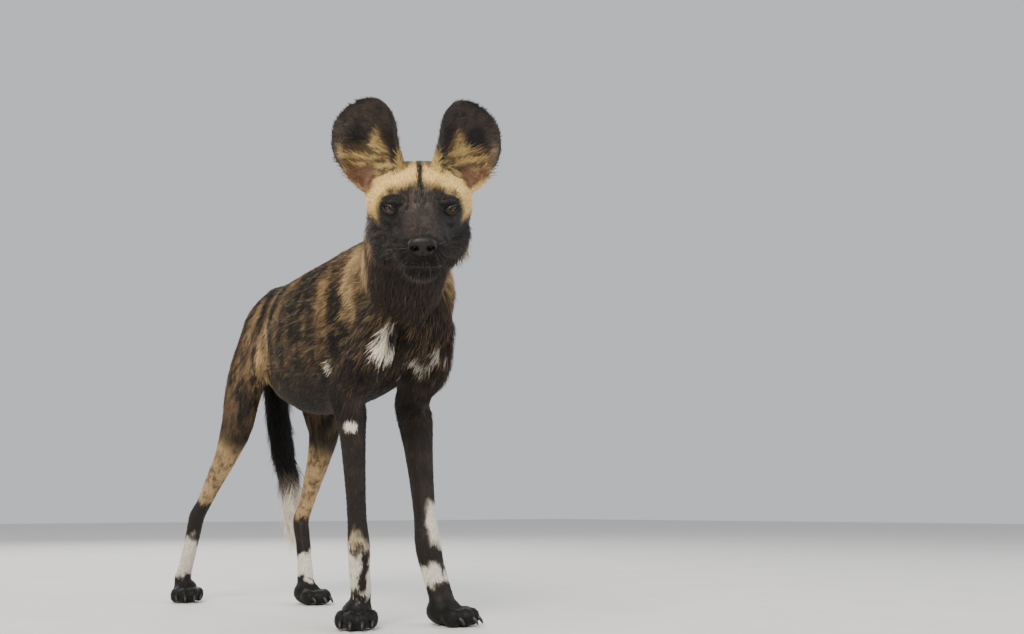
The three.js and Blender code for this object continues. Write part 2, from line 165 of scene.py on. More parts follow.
def turn(axis: str, degrees: float) -> Array:
    """A 3 by 3 matrix that turns by degrees about x, y or z."""
    c, s = math.cos(math.radians(degrees)), math.sin(math.radians(degrees))
    rows = {
        "x": [[1, 0, 0], [0, c, -s], [0, s, c]],
        "y": [[c, 0, s], [0, 1, 0], [-s, 0, c]],
        "z": [[c, -s, 0], [s, c, 0], [0, 0, 1]],
    }
    return np.array(rows[axis])


def lattice_noise(points: Array, size: float | Sequence[float], seed: int) -> Array:
    """Smooth value noise from 0 to 1.

    Random numbers stand on a lattice of the given cell size, and each point takes the smooth-stepped
    blend of the eight round it.

    Args:
        points: (n, 3) in millimetres.
        size: Cell size in millimetres, one number or one for each axis.
        seed: Which noise.

    Returns:
        (n,) values.
    """
    place = points / np.broadcast_to(np.asarray(size, float), (3,))
    cell = np.floor(place).astype(np.int64)
    t = place - cell
    t = t * t * (3.0 - 2.0 * t)
    total = np.zeros(len(points))
    for corner in range(8):
        bits = np.array([corner & 1, corner >> 1 & 1, corner >> 2 & 1])
        mixed = (cell + bits) @ HASH_PRIMES + seed * HASH_MIXER
        mixed = (mixed ^ (mixed >> 13)) * HASH_MIXER
        value = ((mixed ^ (mixed >> 16)) & 0xFFFFFF) / 0xFFFFFF
        total += value * np.prod(np.where(bits == 1, t, 1.0 - t), axis=1)
    return total


def layered_noise(points: Array, size: float | Sequence[float], seed: int, layers: int = 3) -> Array:
    """Lattice noise with finer layers of half the cell and half the strength added, from 0 to 1."""
    cell = np.broadcast_to(np.asarray(size, float), (3,))
    total = np.zeros(len(points))
    weight = 0.0
    for layer in range(layers):
        total += lattice_noise(points, cell / 2 ** layer, seed + layer) / 2 ** layer
        weight += 1 / 2 ** layer
    return total / weight


HEAD_TURN = turn("z", HEAD_YAW) @ turn("x", HEAD_PITCH) @ turn("y", HEAD_ROLL)


def in_head(points: Array | Sequence[float]) -> Array:
    """Move points from the head's frame (between the eyes, -Y to the nose) to the dog's."""
    return np.asarray(points, float) @ HEAD_TURN.T + HEAD_CENTRE


def to_head(points: Array) -> Array:
    """Move points from the dog's frame to the head's."""
    return (points - HEAD_CENTRE) @ HEAD_TURN


def off_mouth(local: Array) -> Array:
    """How far above the closed mouth's sloping plane each point of the head's frame is."""
    return local[:, 2] - MOUTH_HEIGHT - MOUTH_SLOPE * (local[:, 1] - MOUTH_FRONT)


def ear_frame(side: Side) -> Array:
    """A 3 by 3 matrix that turns an upright ear, open towards -Y, to the way it stands on the head."""
    return (turn("y", side.value * EAR_LEAN_OUT[side]) @ turn("x", -EAR_TILT_BACK)
            @ turn("z", side.value * EAR_TURN_OUT))


# Lofts

@dataclass(frozen=True)
class Station:
    """One section of a loft: its centre, its half sizes at the coat tips and how deep the coat is."""

    at: Triple | Array
    half: float
    up: float
    down: float
    coat: float = 6.0
    power: float = 2.0

    def skin_row(self) -> list[float]:
        """Centre, half sizes less what the laid hair adds (a share of the coat's depth), and power."""
        inset = self.coat * COAT_SHARE
        return [*self.at, self.half - inset, self.up - inset, self.down - inset, self.power]


def curve_through(knots: Array, rows: Array, at: Array) -> Array:
    """Cubic Hermite curve through rows, with each slope taken from the rows on both sides.

    Args:
        knots: (k,) rising distances.
        rows: (k, c) values at the knots.
        at: (n,) distances to work out.

    Returns:
        (n, c) values.
    """
    slopes = np.empty_like(rows)
    slopes[1:-1] = (rows[2:] - rows[:-2]) / (knots[2:] - knots[:-2])[:, None]
    slopes[0] = (rows[1] - rows[0]) / (knots[1] - knots[0])
    slopes[-1] = (rows[-1] - rows[-2]) / (knots[-1] - knots[-2])
    i = np.clip(np.searchsorted(knots, at, side="right") - 1, 0, len(knots) - 2)
    span = (knots[i + 1] - knots[i])[:, None]
    s = ((at - knots[i])[:, None]) / span
    return ((2 * s ** 3 - 3 * s ** 2 + 1) * rows[i] + (s ** 3 - 2 * s ** 2 + s) * span * slopes[i]
            + (3 * s ** 2 - 2 * s ** 3) * rows[i + 1] + (s ** 3 - s ** 2) * span * slopes[i + 1])


@dataclass(frozen=True)
class Loft:
    """Sections carried along a smooth path and rounded at both ends."""

    stations: tuple[Station, ...]
    side: Triple | Array = (1.0, 0.0, 0.0)
    caps: tuple[float, float] = (12.0, 12.0)
    trims: tuple[float, float] = (0.0, 0.0)
    along: int = 56
    around: int = 48

    def grid(self) -> Array:
        """Points of the surface.

        A section is a superellipse r = (|cos/half|^p + |sin/height|^p)^(-1/p), with one height above and
        one below, across the path and as near as can be to the side direction.

        Returns:
            (rings, around, 3) in millimetres.
        """
        rows = np.array([s.skin_row() for s in self.stations])
        steps = reach_of(np.diff(rows[:, :3], axis=0))
        knots = np.concatenate([[0.0], np.cumsum(steps)])
        start, end = self.trims[0], knots[-1] - self.trims[1]
        cap_turn = np.linspace(0.04, 1.0, 9) * math.pi / 2
        first = start + self.caps[0] * (1 - np.cos(cap_turn))
        last = end - self.caps[1] * (1 - np.cos(cap_turn[::-1]))
        middle = np.linspace(first[-1], last[0], self.along + 1)[1:-1]
        distance = np.concatenate([first, middle, last])
        shrink = np.concatenate([np.sin(cap_turn), np.ones(len(middle)), np.sin(cap_turn[::-1])])
        values = curve_through(knots, rows, distance)
        ahead = curve_through(knots, rows[:, :3], np.minimum(distance + 1, knots[-1]))
        behind = curve_through(knots, rows[:, :3], np.maximum(distance - 1, 0))
        tangent = unit(ahead - behind)
        across = np.broadcast_to(np.asarray(self.side, float), tangent.shape)
        across = unit(across - (across * tangent).sum(1, keepdims=True) * tangent)
        upward = np.cross(across, tangent)
        angle = angles(self.around)[None]
        c, s = np.cos(angle), np.sin(angle)
        height = np.where(s >= 0, values[:, 4:5], values[:, 5:6])
        power = values[:, 6:7]
        radius = ((np.abs(c) / values[:, 3:4]) ** power + (np.abs(s) / height) ** power) ** (-1 / power)
        radius = radius * shrink[:, None]
        return (values[:, None, :3] + (radius * c)[..., None] * across[:, None]
                + (radius * s)[..., None] * upward[:, None])


def wall_triangles(rings: int, around: int, wrapped: bool = False) -> Array:
    """Two triangles for each cell of a ring grid.

    Args:
        rings: How many rings.
        around: Points on a ring.
        wrapped: Whether the last ring is joined to the first.

    Returns:
        (t, 3) triangles.
    """
    i, j = np.meshgrid(np.arange(rings if wrapped else rings - 1), np.arange(around), indexing="ij")
    i_next, j_next = (i + 1) % rings, (j + 1) % around
    a, b, c, d = i * around + j, i * around + j_next, i_next * around + j_next, i_next * around + j
    return np.concatenate([np.stack([a, b, c], -1).reshape(-1, 3), np.stack([a, c, d], -1).reshape(-1, 3)])


def closed_tube(grid: Array) -> tuple[Array, Array]:
    """Vertices and outward triangles of a ring grid, with a middle point closing each end.

    Args:
        grid: (rings, around, 3).

    Returns:
        (n, 3) vertices and (t, 3) triangles.
    """
    rings, around = grid.shape[:2]
    ends = np.array([grid[0].mean(0), grid[-1].mean(0)])
    vertices = np.concatenate([grid.reshape(-1, 3), ends])
    k = np.arange(around)
    k_next = (k + 1) % around
    base = (rings - 1) * around
    low = np.stack([np.full(around, rings * around), k_next, k], -1)
    high = np.stack([np.full(around, rings * around + 1), base + k, base + k_next], -1)
    return outward(vertices, np.concatenate([wall_triangles(rings, around), low, high]))


def outward(vertices: Array, triangles: Array) -> tuple[Array, Array]:
    """Turn the triangles round if the volume they enclose is negative."""
    a, b, c = (vertices[triangles[:, k]] for k in range(3))
    volume = (a * np.cross(b, c)).sum()
    return vertices, triangles if volume > 0 else triangles[:, ::-1]


def ellipsoid(centre: Sequence[float], radii: Sequence[float], frame: Array | None = None,
              rings: int = 20, around: int = 28) -> tuple[Array, Array]:
    """Closed ellipsoid: latitude rings from one pole to the other.

    Args:
        centre: Its centre.
        radii: Its half sizes.
        frame: Optional 3 by 3 matrix that turns it.
        rings: Rings between the poles.
        around: Points on a ring.

    Returns:
        Vertices and triangles.
    """
    latitude = np.linspace(0.02, math.pi - 0.02, rings)[:, None]
    longitude = angles(around)[None]
    grid = np.stack([np.sin(latitude) * np.cos(longitude), np.sin(latitude) * np.sin(longitude),
                     np.cos(latitude) + 0 * longitude], -1) * np.asarray(radii, float)
    if frame is not None:
        grid = grid @ frame.T
    return closed_tube(grid + np.asarray(centre, float))


def join(pieces: Sequence[tuple[Array, Array]]) -> tuple[Array, Array]:
    """Put several vertex and triangle lists into one."""
    counts = np.cumsum([0] + [len(v) for v, _ in pieces[:-1]])
    return (np.concatenate([v for v, _ in pieces]),
            np.concatenate([t + n for (_, t), n in zip(pieces, counts)]))


# Places of the joints in the standing pose

@dataclass(frozen=True)
class LegPlaces:
    """Joint places of one leg, from the top down, and how far its toes turn."""

    top: Triple
    bend: Triple
    ankle: Triple
    pastern: Triple
    paw: Triple
    toes_turned: float
    paw_scale: float
    girth: float = 1.0

    def thickened(self, stations: tuple[Station, ...], first: int = 3) -> tuple[Station, ...]:
        """The stations with all below the first few made thicker by the leg's own girth."""
        return tuple(s if k < first else replace(s, half=s.half * self.girth, up=s.up * self.girth,
                                                 down=s.down * self.girth)
                     for k, s in enumerate(stations))


FORELEGS = {
    Side.RIGHT: LegPlaces((-64, -298, 472), (-80, -222, 356), (-52, -215, 116), (-36, -200, 46),
                          (-38, -193, 0), -32, 1.0),
    Side.LEFT: LegPlaces((52, -286, 472), (69, -184, 356), (68, -232, 116), (84, -247, 46),
                         (87, -258, 0), 26, 1.0, 1.2),
}
HINDLEGS = {
    Side.RIGHT: LegPlaces((-50, 162, 528), (-80, 184, 340), (-91, 338, 166), (-86, 404, 44),
                          (-84, 390, 0), -12, 0.94, 1.1),
    Side.LEFT: LegPlaces((50, 162, 528), (76, 128, 340), (92, 248, 158), (80, 197, 44),
                         (79, 183, 0), 18, 0.94, 1.15),
}
TAIL_PATH = ((0, 256, 580), (10, 290, 552), (28, 302, 490), (45, 297, 400), (57, 289, 320),
             (75, 283, 240), (92, 287, 170), (101, 284, 116))
TOES = ((-24, -22, 11), (-9, -38, 12), (9, -38, 12), (24, -22, 11))


def shifted(point: Sequence[float], shift: Sequence[float]) -> Array:
    """A point moved by a shift."""
    return np.asarray(point, float) + np.asarray(shift, float)


def between(a: Sequence[float], b: Sequence[float], share: float,
            shift: Sequence[float] = (0, 0, 0)) -> Array:
    """The point at that share of the way from a to b, with a shift added."""
    return np.asarray(a, float) * (1 - share) + np.asarray(b, float) * share + np.asarray(shift, float)


# Where limbs join the body: centre, reach and how much of the softening is used
JOINS = (
    ((0, -235, 560), (130, 80, 150), 1.0), (in_head((0, 70, -20)), (120, 70, 120), 1.0),
    ((-70, -270, 455), (70, 90, 90), 1.0), ((60, -262, 455), (70, 90, 90), 1.0),
    ((-60, -225, 400), (60, 70, 60), 1.0), ((55, -205, 400), (60, 70, 60), 1.0),
    ((-60, 165, 480), (75, 150, 130), 1.0), ((60, 150, 480), (75, 150, 130), 1.0),
    ((-50, 130, 400), (60, 80, 70), 1.0), ((45, 100, 400), (60, 80, 70), 1.0),
    ((6, 275, 565), (50, 50, 60), 1.0), ((0, -300, 440), (60, 60, 70), 1.0),
)
PAW_JOINS = tuple((np.array(leg.paw) + (0, -12, 16), (52, 60, 44), 0.16)
                  for legs in (FORELEGS, HINDLEGS) for leg in legs.values())
# Muscles, bones and hollows that show: centre, reach and height
MUSCLES = (
    ((-92, -205, 560), (40, 14, 60), 3.5), ((92, -195, 560), (40, 14, 60), 3.5),
    ((-100, -255, 430), (40, 26, 40), 4.0), ((90, -245, 430), (40, 26, 40), 4.0),
    ((-100, -205, 400), (30, 22, 34), 4.0), ((90, -175, 400), (30, 22, 34), 4.0),
    ((-90, -190, 362), (14, 14, 12), 5.0), ((78, -152, 362), (14, 14, 12), 5.0),
    ((-95, 215, 430), (40, 34, 60), 4.0), ((95, 205, 430), (40, 34, 60), 4.0),
    ((-85, 165, 350), (22, 16, 16), 3.5), ((80, 108, 350), (22, 16, 16), 3.5),
    ((-78, 100, 470), (30, 22, 50), -5.0), ((78, 90, 470), (30, 22, 50), -5.0),
    ((-40, 175, 615), (24, 26, 20), 4.0), ((40, 175, 615), (24, 26, 20), 4.0),
    ((-60, -300, 380), (26, 20, 40), -3.0), ((50, -290, 380), (26, 20, 40), -3.0),
    ((-91, 354, 172), (10, 9, 12), 3.5), ((92, 264, 164), (10, 9, 12), 3.5),
    ((-45, -206, 96), (9, 9, 9), 2.5), ((66, -218, 96), (9, 9, 9), 2.5),
)


# The skin

@dataclass
class BodySkin:
    """One closed skin for every part of flesh, lying inside the solids by the coat's depth."""

    voxel: float = 3.9
    most_triangles: int = 190000
    head_zoom: float = 2.0
    zoom_inside: float = 175.0
    zoom_outside: float = 330.0
    softening: tuple[float, ...] = (0.6, -0.52) * 4
    join_softening: tuple[float, ...] = (0.5,) * 40
    groove_depth: float = 3.0
    groove_width: float = 2.2
    lip_rise: float = 1.6
    lip_height: float = 6.0
    lip_width: float = 4.5
    socket_reach: float = 26.0
    least_height: float = 0.2
    nodes: tuple[str, ...] = (
        "head", "lower_jaw", "neck", "chest", "rump", "tail",
        *(f"{part}_{side.word}" for side in Side
          for part in ("ear", "shoulder", "forearm", "forepaw", "thigh", "shank", "hindpaw")))

    def trunk(self) -> Loft:
        """Ribcage, belly, loin and rump: ovals whose middle is 56% of the way up from the underside."""
        table = (
            (-334, 520, 436, 34), (-305, 568, 410, 58), (-260, 620, 392, 76), (-205, 646, 380, 82),
            (-140, 646, 366, 89), (-60, 636, 354, 97), (20, 630, 350, 98), (90, 628, 372, 88),
            (150, 628, 402, 72), (205, 622, 426, 70), (250, 604, 446, 62), (294, 566, 476, 40),
        )
        stations = tuple(
            Station((0, y, low + 0.56 * (top - low)), half, 0.44 * (top - low), 0.56 * (top - low),
                    7.0 if y > -180 else 9.0, 2.05)
            for y, top, low, half in table)
        return Loft(stations, caps=(26, 28), trims=(8, 6))

    def neck(self) -> Loft:
        """Neck from the back of the head to between the shoulders."""
        front, base = in_head((0, 60, -18)), np.array([0.0, -222.0, 548.0])
        stations = (
            Station(front, 70, 60, 80, 13),
            Station(between(front, base, 0.3), 68, 68, 92, 13),
            Station(between(front, base, 0.6), 67, 76, 102, 11),
            Station(base, 69, 88, 122, 9),
            Station((0, -165, 528), 70, 96, 110, 9),
        )
        return Loft(stations, side=between(HEAD_TURN[:, 0], (1, 0, 0), 0.4), caps=(20, 26))

    def skull(self) -> Loft:
        """Skull and muzzle, from the nose back."""
        profile = (
            (-116, -15, 18, 13, 24), (-106, -17, 28, 18, 37), (-85, -18, 31, 21, 45),
            (-60, -16, 33, 25, 46), (-38, -10, 41, 29, 52), (-12, -3, 58, 38, 58),
            (18, 2, 73, 48, 68), (50, 2, 78, 54, 80), (82, -6, 72, 48, 76), (106, -14, 52, 34, 56),
        )
        stations = tuple(
            Station(in_head((0, y, z)), half, up, down, 2.5 if y < -50 else 4.0 if y < 30 else 7.0, 2.2)
            for y, z, half, up, down in profile)
        return Loft(stations, side=HEAD_TURN[:, 0], caps=(7, 22), trims=(2.5, 6), along=70, around=64)

    def foreleg(self, places: LegPlaces) -> Loft:
        """Foreleg from the shoulder point to the paw; "up" is its rear and "down" its front."""
        shoulder, elbow, wrist, pastern = places.top, places.bend, places.ankle, places.pastern
        stations = (
            Station(shifted(shoulder, (0, 20, 34)), 27, 50, 44, 7),
            Station(between(shoulder, elbow, 0.45, (0, 6, 0)), 31, 56, 44, 6),
            Station(shifted(elbow, (0, 4, 16)), 27, 46, 33, 4.5),
            Station(between(elbow, wrist, 0.14), 23, 30, 24, 3),
            Station(between(elbow, wrist, 0.45), 18.5, 21, 19, 2.6),
            Station(between(elbow, wrist, 0.78), 16, 17, 16, 2.4),
            Station(shifted(wrist, (0, 0, 8)), 19, 18, 17, 2.4),
            Station(between(wrist, pastern, 0.4), 18, 16, 15, 2.4),
            Station(pastern, 18.5, 16, 15, 2.4),
            Station(shifted(places.paw, (0, 2, 20)), 22, 18, 16, 2.4),
        )
        return Loft(places.thickened(stations), caps=(10, 6), along=90, around=36)

    def hindleg(self, places: LegPlaces, side: Side) -> Loft:
        """Hind leg from the hip to the paw."""
        hip, knee, hock, pastern = places.top, places.bend, places.ankle, places.pastern
        stations = (
            Station(shifted(hip, (0, 6, 26)), 27, 78, 58, 8),
            Station(between(hip, knee, 0.28, (side.value * 3, 10, 0)), 31, 82, 60, 7),
            Station(between(hip, knee, 0.62, (side.value * 2, 16, 0)), 30, 66, 48, 6),
            Station(shifted(knee, (0, 14, 0)), 25, 42, 30, 4.5),
            Station(between(knee, hock, 0.28), 20, 32, 24, 3.2),
            Station(between(knee, hock, 0.58), 16, 22, 18, 2.8),
            Station(between(knee, hock, 0.85), 12.5, 18, 15, 2.4),
            Station(shifted(hock, (0, 2, 0)), 14, 17, 15, 2.4),
            Station(between(hock, pastern, 0.4), 13.5, 14, 13, 2.4),
            Station(between(hock, pastern, 0.8), 14, 13, 13, 2.4),
            Station(pastern, 16, 15, 14, 2.4),
            Station(shifted(places.paw, (0, 2, 20)), 20, 18, 16, 2.4),
        )
        return Loft(places.thickened(stations), caps=(10, 6), along=100, around=36)

    def tail(self) -> Loft:
        """The tail's flesh, much thinner than its brush of hair."""
        sizes = (22, 22, 24, 26, 26, 22, 15, 5)
        depths = (8, 10, 14, 18, 19.5, 17, 11.5, 3.2)
        stations = tuple(Station(place, size, size, size, depth)
                         for place, size, depth in zip(TAIL_PATH, sizes, depths))
        return Loft(stations, caps=(12, 10), trims=(0, 22), along=60, around=24)

    def paw(self, places: LegPlaces) -> list[tuple[Array, Array]]:
        """Heel pad and four toes as ellipsoids, to be flattened where they stand."""
        frame = turn("z", places.toes_turned)
        k = places.paw_scale
        heel = np.asarray(places.paw) + frame @ (0, 4, 22)
        made = [ellipsoid(heel, (27 * k - 2, 32 * k - 2, 22.5), frame)]
        for x, y, radius in TOES:
            centre = np.asarray(places.paw) + frame @ (x * k, y * k, 15)
            made.append(ellipsoid(centre, (radius * k - 1, 19 * k - 1.5, 15.3), frame))
        return made

    def ear(self, side: Side) -> tuple[Array, Array]:
        """An ear as a thick cup.

        Height v and width u give x = width(v) sin(u bend) and y = -depth(v) (1 - cos(u bend)) /
        (1 - cos(bend)), where the bend falls from a near tube at the root to a shallow dish at the tip. The
        sheet is thickened both ways along its normals.

        Args:
            side: Which ear.

        Returns:
            Vertices and triangles.
        """
        rise = 1 - (1 - np.linspace(0, 1, 44)) ** 1.25
        growth = curve_through(
            np.array([0, 0.12, 0.3, 0.5, 0.65, 0.8, 0.9, 0.97, 1]),
            np.array([[0.66], [0.74], [0.86], [0.99], [1], [0.89], [0.72], [0.45], [0.15]]), rise)
        knots = np.array([0, 0.2, 0.5, 0.8, 1])
        bend = curve_through(knots, np.array([[2.25], [1.6], [1.1], [0.75], [0.5]]), rise)
        depth = curve_through(knots, np.array([[34.0], [34], [26], [12], [3]]), rise)
        u = np.linspace(-1, 1, 41)[None]
        width = np.where(u * side.value > 0, EAR_OUTER_WIDTH, EAR_INNER_WIDTH) * growth - 1.5
        widest = np.where(bend > math.pi / 2, 1, np.sin(bend))
        sheet = np.stack([width * np.sin(u * bend) / widest,
                          -depth * (1 - np.cos(u * bend)) / (1 - np.cos(bend)),
                          (EAR_LENGTH - 3) * rise[:, None] + 0 * u], -1)
        normal = unit(np.cross(np.gradient(sheet, axis=1), np.gradient(sheet, axis=0)))
        half = (1.5 + 1.1 * (1 - rise))[:, None, None]
        rings = np.concatenate([sheet + normal * half, (sheet - normal * half)[:, ::-1]], 1)
        return closed_tube(in_head(rings @ ear_frame(side).T + np.array(EAR_ROOT[side])))

    def lumps(self) -> list[tuple[Array, Array]]:
        """Brows, cheek muscles, jowls and the rims round the eyes."""
        x, y, z = EYE_PLACE
        table = (
            ((36, -2, 17), (20, 18, 15)), ((43, 26, -40), (25, 35, 36)), ((22, -72, -24), (14, 26, 17)),
            ((40, 42, -64), (27, 34, 26)), ((x, y + 1.5, z), (16.5, 13.5, 14.5)),
            ((x - 3, y + 2, z + 9), (17.0, 12.0, 7.0)),
        )
        return [ellipsoid(in_head(np.array(centre) * (side.value, 1, 1)), radii, HEAD_TURN)
                for side in Side for centre, radii in table]

    def zoomed(self, points: Array, back: bool = False) -> Array:
        """Magnify the space round the head, so that one voxel size gives the face finer faces.

        Distance r from the head's middle becomes zoom * r inside, and keeps rising with a slope that falls
        smoothly to 1 outside. The curve is tabled and looked up either way.

        Args:
            points: (n, 3).
            back: Undo the zoom.

        Returns:
            The moved points.
        """
        r = np.linspace(0, 2000, 4001)
        slope = 1 + (self.head_zoom - 1) * (1 - ease(self.zoom_inside, self.zoom_outside, r))
        grown = np.concatenate([[0], np.cumsum((slope[1:] + slope[:-1]) / 2 * np.diff(r))])
        middle = in_head((0, 20, 30))
        offset = points - middle
        distance = reach_of(offset)[:, None]
        wanted = np.interp(distance, grown, r) if back else np.interp(distance, r, grown)
        return middle + offset * wanted / np.maximum(distance, 1e-6)

    def rough_form(self) -> tuple[Array, Array]:
        """All lofts and lumps joined, then melted into one closed surface by a voxel remesh."""
        lofts = [self.trunk(), self.neck(), self.skull(), self.tail()]
        pieces = [closed_tube(loft.grid()) for loft in lofts]
        for side in Side:
            pieces.append(closed_tube(self.foreleg(FORELEGS[side]).grid()))
            pieces.append(closed_tube(self.hindleg(HINDLEGS[side], side).grid()))
            pieces += self.paw(FORELEGS[side]) + self.paw(HINDLEGS[side]) + [self.ear(side)]
        vertices, triangles = join(pieces + self.lumps())
        points, faces = self.modified(self.zoomed(vertices), triangles, "REMESH", mode="VOXEL",
                                      voxel_size=self.voxel, adaptivity=0.0)
        return self.zoomed(points, back=True), faces

    @staticmethod
    def modified(points: Array, triangles: Array, kind: str, **settings: object) -> tuple[Array, Array]:
        """The shape after one of Blender's modifiers.

        Args:
            points: (n, 3).
            triangles: (t, 3).
            kind: The modifier's type.
            **settings: Its properties.

        Returns:
            The new points and triangles.
        """
        mesh = bpy.data.meshes.new("working_skin")
        mesh.from_pydata(points.tolist(), [], triangles.tolist())
        body = bpy.data.objects.new("working_skin", mesh)
        bpy.context.scene.collection.objects.link(body)
        modifier = body.modifiers.new("change", kind)
        for name, value in settings.items():
            setattr(modifier, name, value)
        finished = body.evaluated_get(bpy.context.evaluated_depsgraph_get()).to_mesh()
        new_points = np.empty(len(finished.vertices) * 3)
        finished.vertices.foreach_get("co", new_points)
        finished.calc_loop_triangles()
        faces = np.empty(len(finished.loop_triangles) * 3, np.int64)
        finished.loop_triangles.foreach_get("vertices", faces)
        bpy.data.objects.remove(body)
        return new_points.reshape(-1, 3), faces.reshape(-1, 3)

    @staticmethod
    def smoothed(points: Array, triangles: Array, strength: Array, pulls: Sequence[float]) -> Array:
        """Move every point towards its neighbours' mean, round by round.

        A pull above 0 softens. In Taubin smoothing one below 0 follows it, which gives the size back.

        Args:
            points: (n, 3).
            triangles: (t, 3).
            strength: (n,) share of the pull, 0 to 1.
            pulls: How far each round goes, as a share of the way to the mean.

        Returns:
            The smoothed points.
        """
        pairs = np.concatenate([triangles[:, [0, 1]], triangles[:, [1, 2]], triangles[:, [2, 0]]])
        count = np.bincount(pairs[:, 0], minlength=len(points))[:, None]
        for pull in pulls:
            total = np.stack([np.bincount(pairs[:, 0], points[pairs[:, 1], k], len(points))
                              for k in range(3)], -1)
            points = points + strength[:, None] * pull * (total / count - points)
        return points

    @staticmethod
    def normals(points: Array, triangles: Array) -> Array:
        """Unit normals: the sum of the face normals round each point, each weighted by its area."""
        a, b, c = (points[triangles[:, k]] for k in range(3))
        face = np.cross(b - a, c - a)
        total = np.stack([sum(np.bincount(triangles[:, k], face[:, axis], len(points)) for k in range(3))
                          for axis in range(3)], -1)
        return unit(total)

    def build(self) -> tuple[Array, Array]:
        """Melt the form, soften where limbs join, and press the muscles, mouth and eye sockets into it.

        At the end faces are merged where the skin is nearly flat, until only the wanted number is left.

        Returns:
            Vertices in millimetres in the dog's frame, and triangles.
        """
        points, triangles = self.rough_form()
        points = self.smoothed(points, triangles, np.ones(len(points)), self.softening)
        joins = np.zeros(len(points))
        for centre, reach, strength in JOINS + PAW_JOINS:
            distance = reach_of((points - np.asarray(centre, float)) / np.asarray(reach, float))
            joins = np.maximum(joins, strength * (1 - ease(0.6, 1.1, distance)))
        face_kept = ease(0.0, 30.0, to_head(points)[:, 1] + 10)
        head_near = reach_of(points - in_head((0, 0, 0))) < 150
        joins = np.where(head_near, joins * face_kept, joins)
        points = self.smoothed(points, triangles, joins, self.join_softening)
        normal = self.normals(points, triangles)
        lift = np.zeros(len(points))
        for centre, reach, height in MUSCLES:
            offset = (points - np.asarray(centre, float)) / np.asarray(reach, float)
            lift += height * np.exp(-(offset ** 2).sum(1))
        points = points + normal * lift[:, None]
        points = self.press_mouth(points, triangles)
        points = self.press_sockets(points)
        points[:, 2] = np.maximum(points[:, 2], self.least_height)
        return self.modified(points, triangles, "DECIMATE", ratio=self.most_triangles / len(triangles))

    def press_mouth(self, points: Array, triangles: Array) -> Array:
        """Press a groove along the closed mouth, and raise the lip above it.

        Both are height exp(-(distance from their level / width)^2), along the skin's normal.
        """
        local = to_head(points)
        normal = self.normals(points, triangles) @ HEAD_TURN
        off_plane = off_mouth(local)
        inside = ease(MOUTH_CORNER + 4, MOUTH_CORNER - 8, local[:, 1])
        depth = self.groove_depth * inside * np.exp(-(off_plane / self.groove_width) ** 2)
        upper_lip = self.lip_rise * inside * np.exp(-((off_plane - self.lip_height) / self.lip_width) ** 2)
        return in_head(local + normal * (upper_lip - depth)[:, None])

    def press_sockets(self, points: Array) -> Array:
        """Sink the skin behind each eyeball inside a cone round the way the eye looks."""
        local = to_head(points)
        for side in Side:
            centre = eye_centre(side)
            offset = local - centre
            distance = reach_of(offset)
            near = distance < self.socket_reach
            sink = ease(1.12, 0.92, almond_place(offset, side)) * near
            target = np.minimum(distance, EYE_RADIUS - 3.0)
            scaled = offset * ((target / np.maximum(distance, 1e-6)) * sink + (1 - sink))[:, None]
            local = np.where(near[:, None], centre + scaled, local)
        return in_head(local)


def eye_centre(side: Side) -> Array:
    """The middle of an eyeball in the head's frame."""
    return np.array([side.value * EYE_PLACE[0], EYE_PLACE[1], EYE_PLACE[2]])


def eye_axis(side: Side) -> Array:
    """The way the opening between the lids faces, in the head's frame."""
    return unit(np.array([side.value * 0.42, -0.89, 0.2]))


def almond_place(offset: Array, side: Side) -> Array:
    """How far out from the middle of the eye's opening each point is: 1 at the edge, large behind the eye.

    The opening is an ellipse across the way the eye faces, a little higher at its outer corner. Its edge is
    taken 0.6 mm outside the lids' almond across and 0.9 mm above it.
    """
    placed = offset @ frame_on(eye_axis(side)).T
    across = placed[:, 0] * (1 if side is Side.LEFT else -1)
    up = placed[:, 1] - LID_TILT * across
    out = np.hypot(across / (LID_HALF_WIDTH + 0.6), up / (LID_HALF_HEIGHT + 0.9))
    return np.where(placed[:, 2] > 0, out, 9.0)


def frame_on(axis: Array, up: Array = np.array([0.0, 0.0, 1.0])) -> Array:
    """A 3 by 3 matrix whose rows are across, up and along the axis."""
    along = unit(axis)
    across = unit(np.cross(up, along))
    return np.array([across, np.cross(along, across), along])


# Which part of the body a point belongs to, and how the coat lies there

class Zone(Enum):
    """Parts of the body that carry their own kind of coat."""

    HEAD = 0
    NECK = 1
    TRUNK = 2
    UPPER_LEG = 3
    LOWER_LEG = 4
    PAW = 5
    TAIL = 6
    EAR = 7


@dataclass(frozen=True)
class Bone:
    """A straight stretch of the body: the coat lies along it, and it owns one patch of the unwrap."""

    name: str
    start: Triple | Array
    end: Triple | Array
    radius: float
    zone: Zone
    patch: tuple[float, float, float, float]
    sag: float = 0.0

    def ends(self) -> tuple[Array, Array]:
        """Its start and its end."""
        return np.asarray(self.start, float), np.asarray(self.end, float)


def paw_bone(name: str, paw: Triple, radius: float,
             patch: tuple[float, float, float, float]) -> Bone:
    """A bone from the top of a paw, at its back, down to its toes."""
    x, y, _ = paw
    return Bone(name, (x, y + 14, 32), (x, y - 30, 8), radius, Zone.PAW, patch)


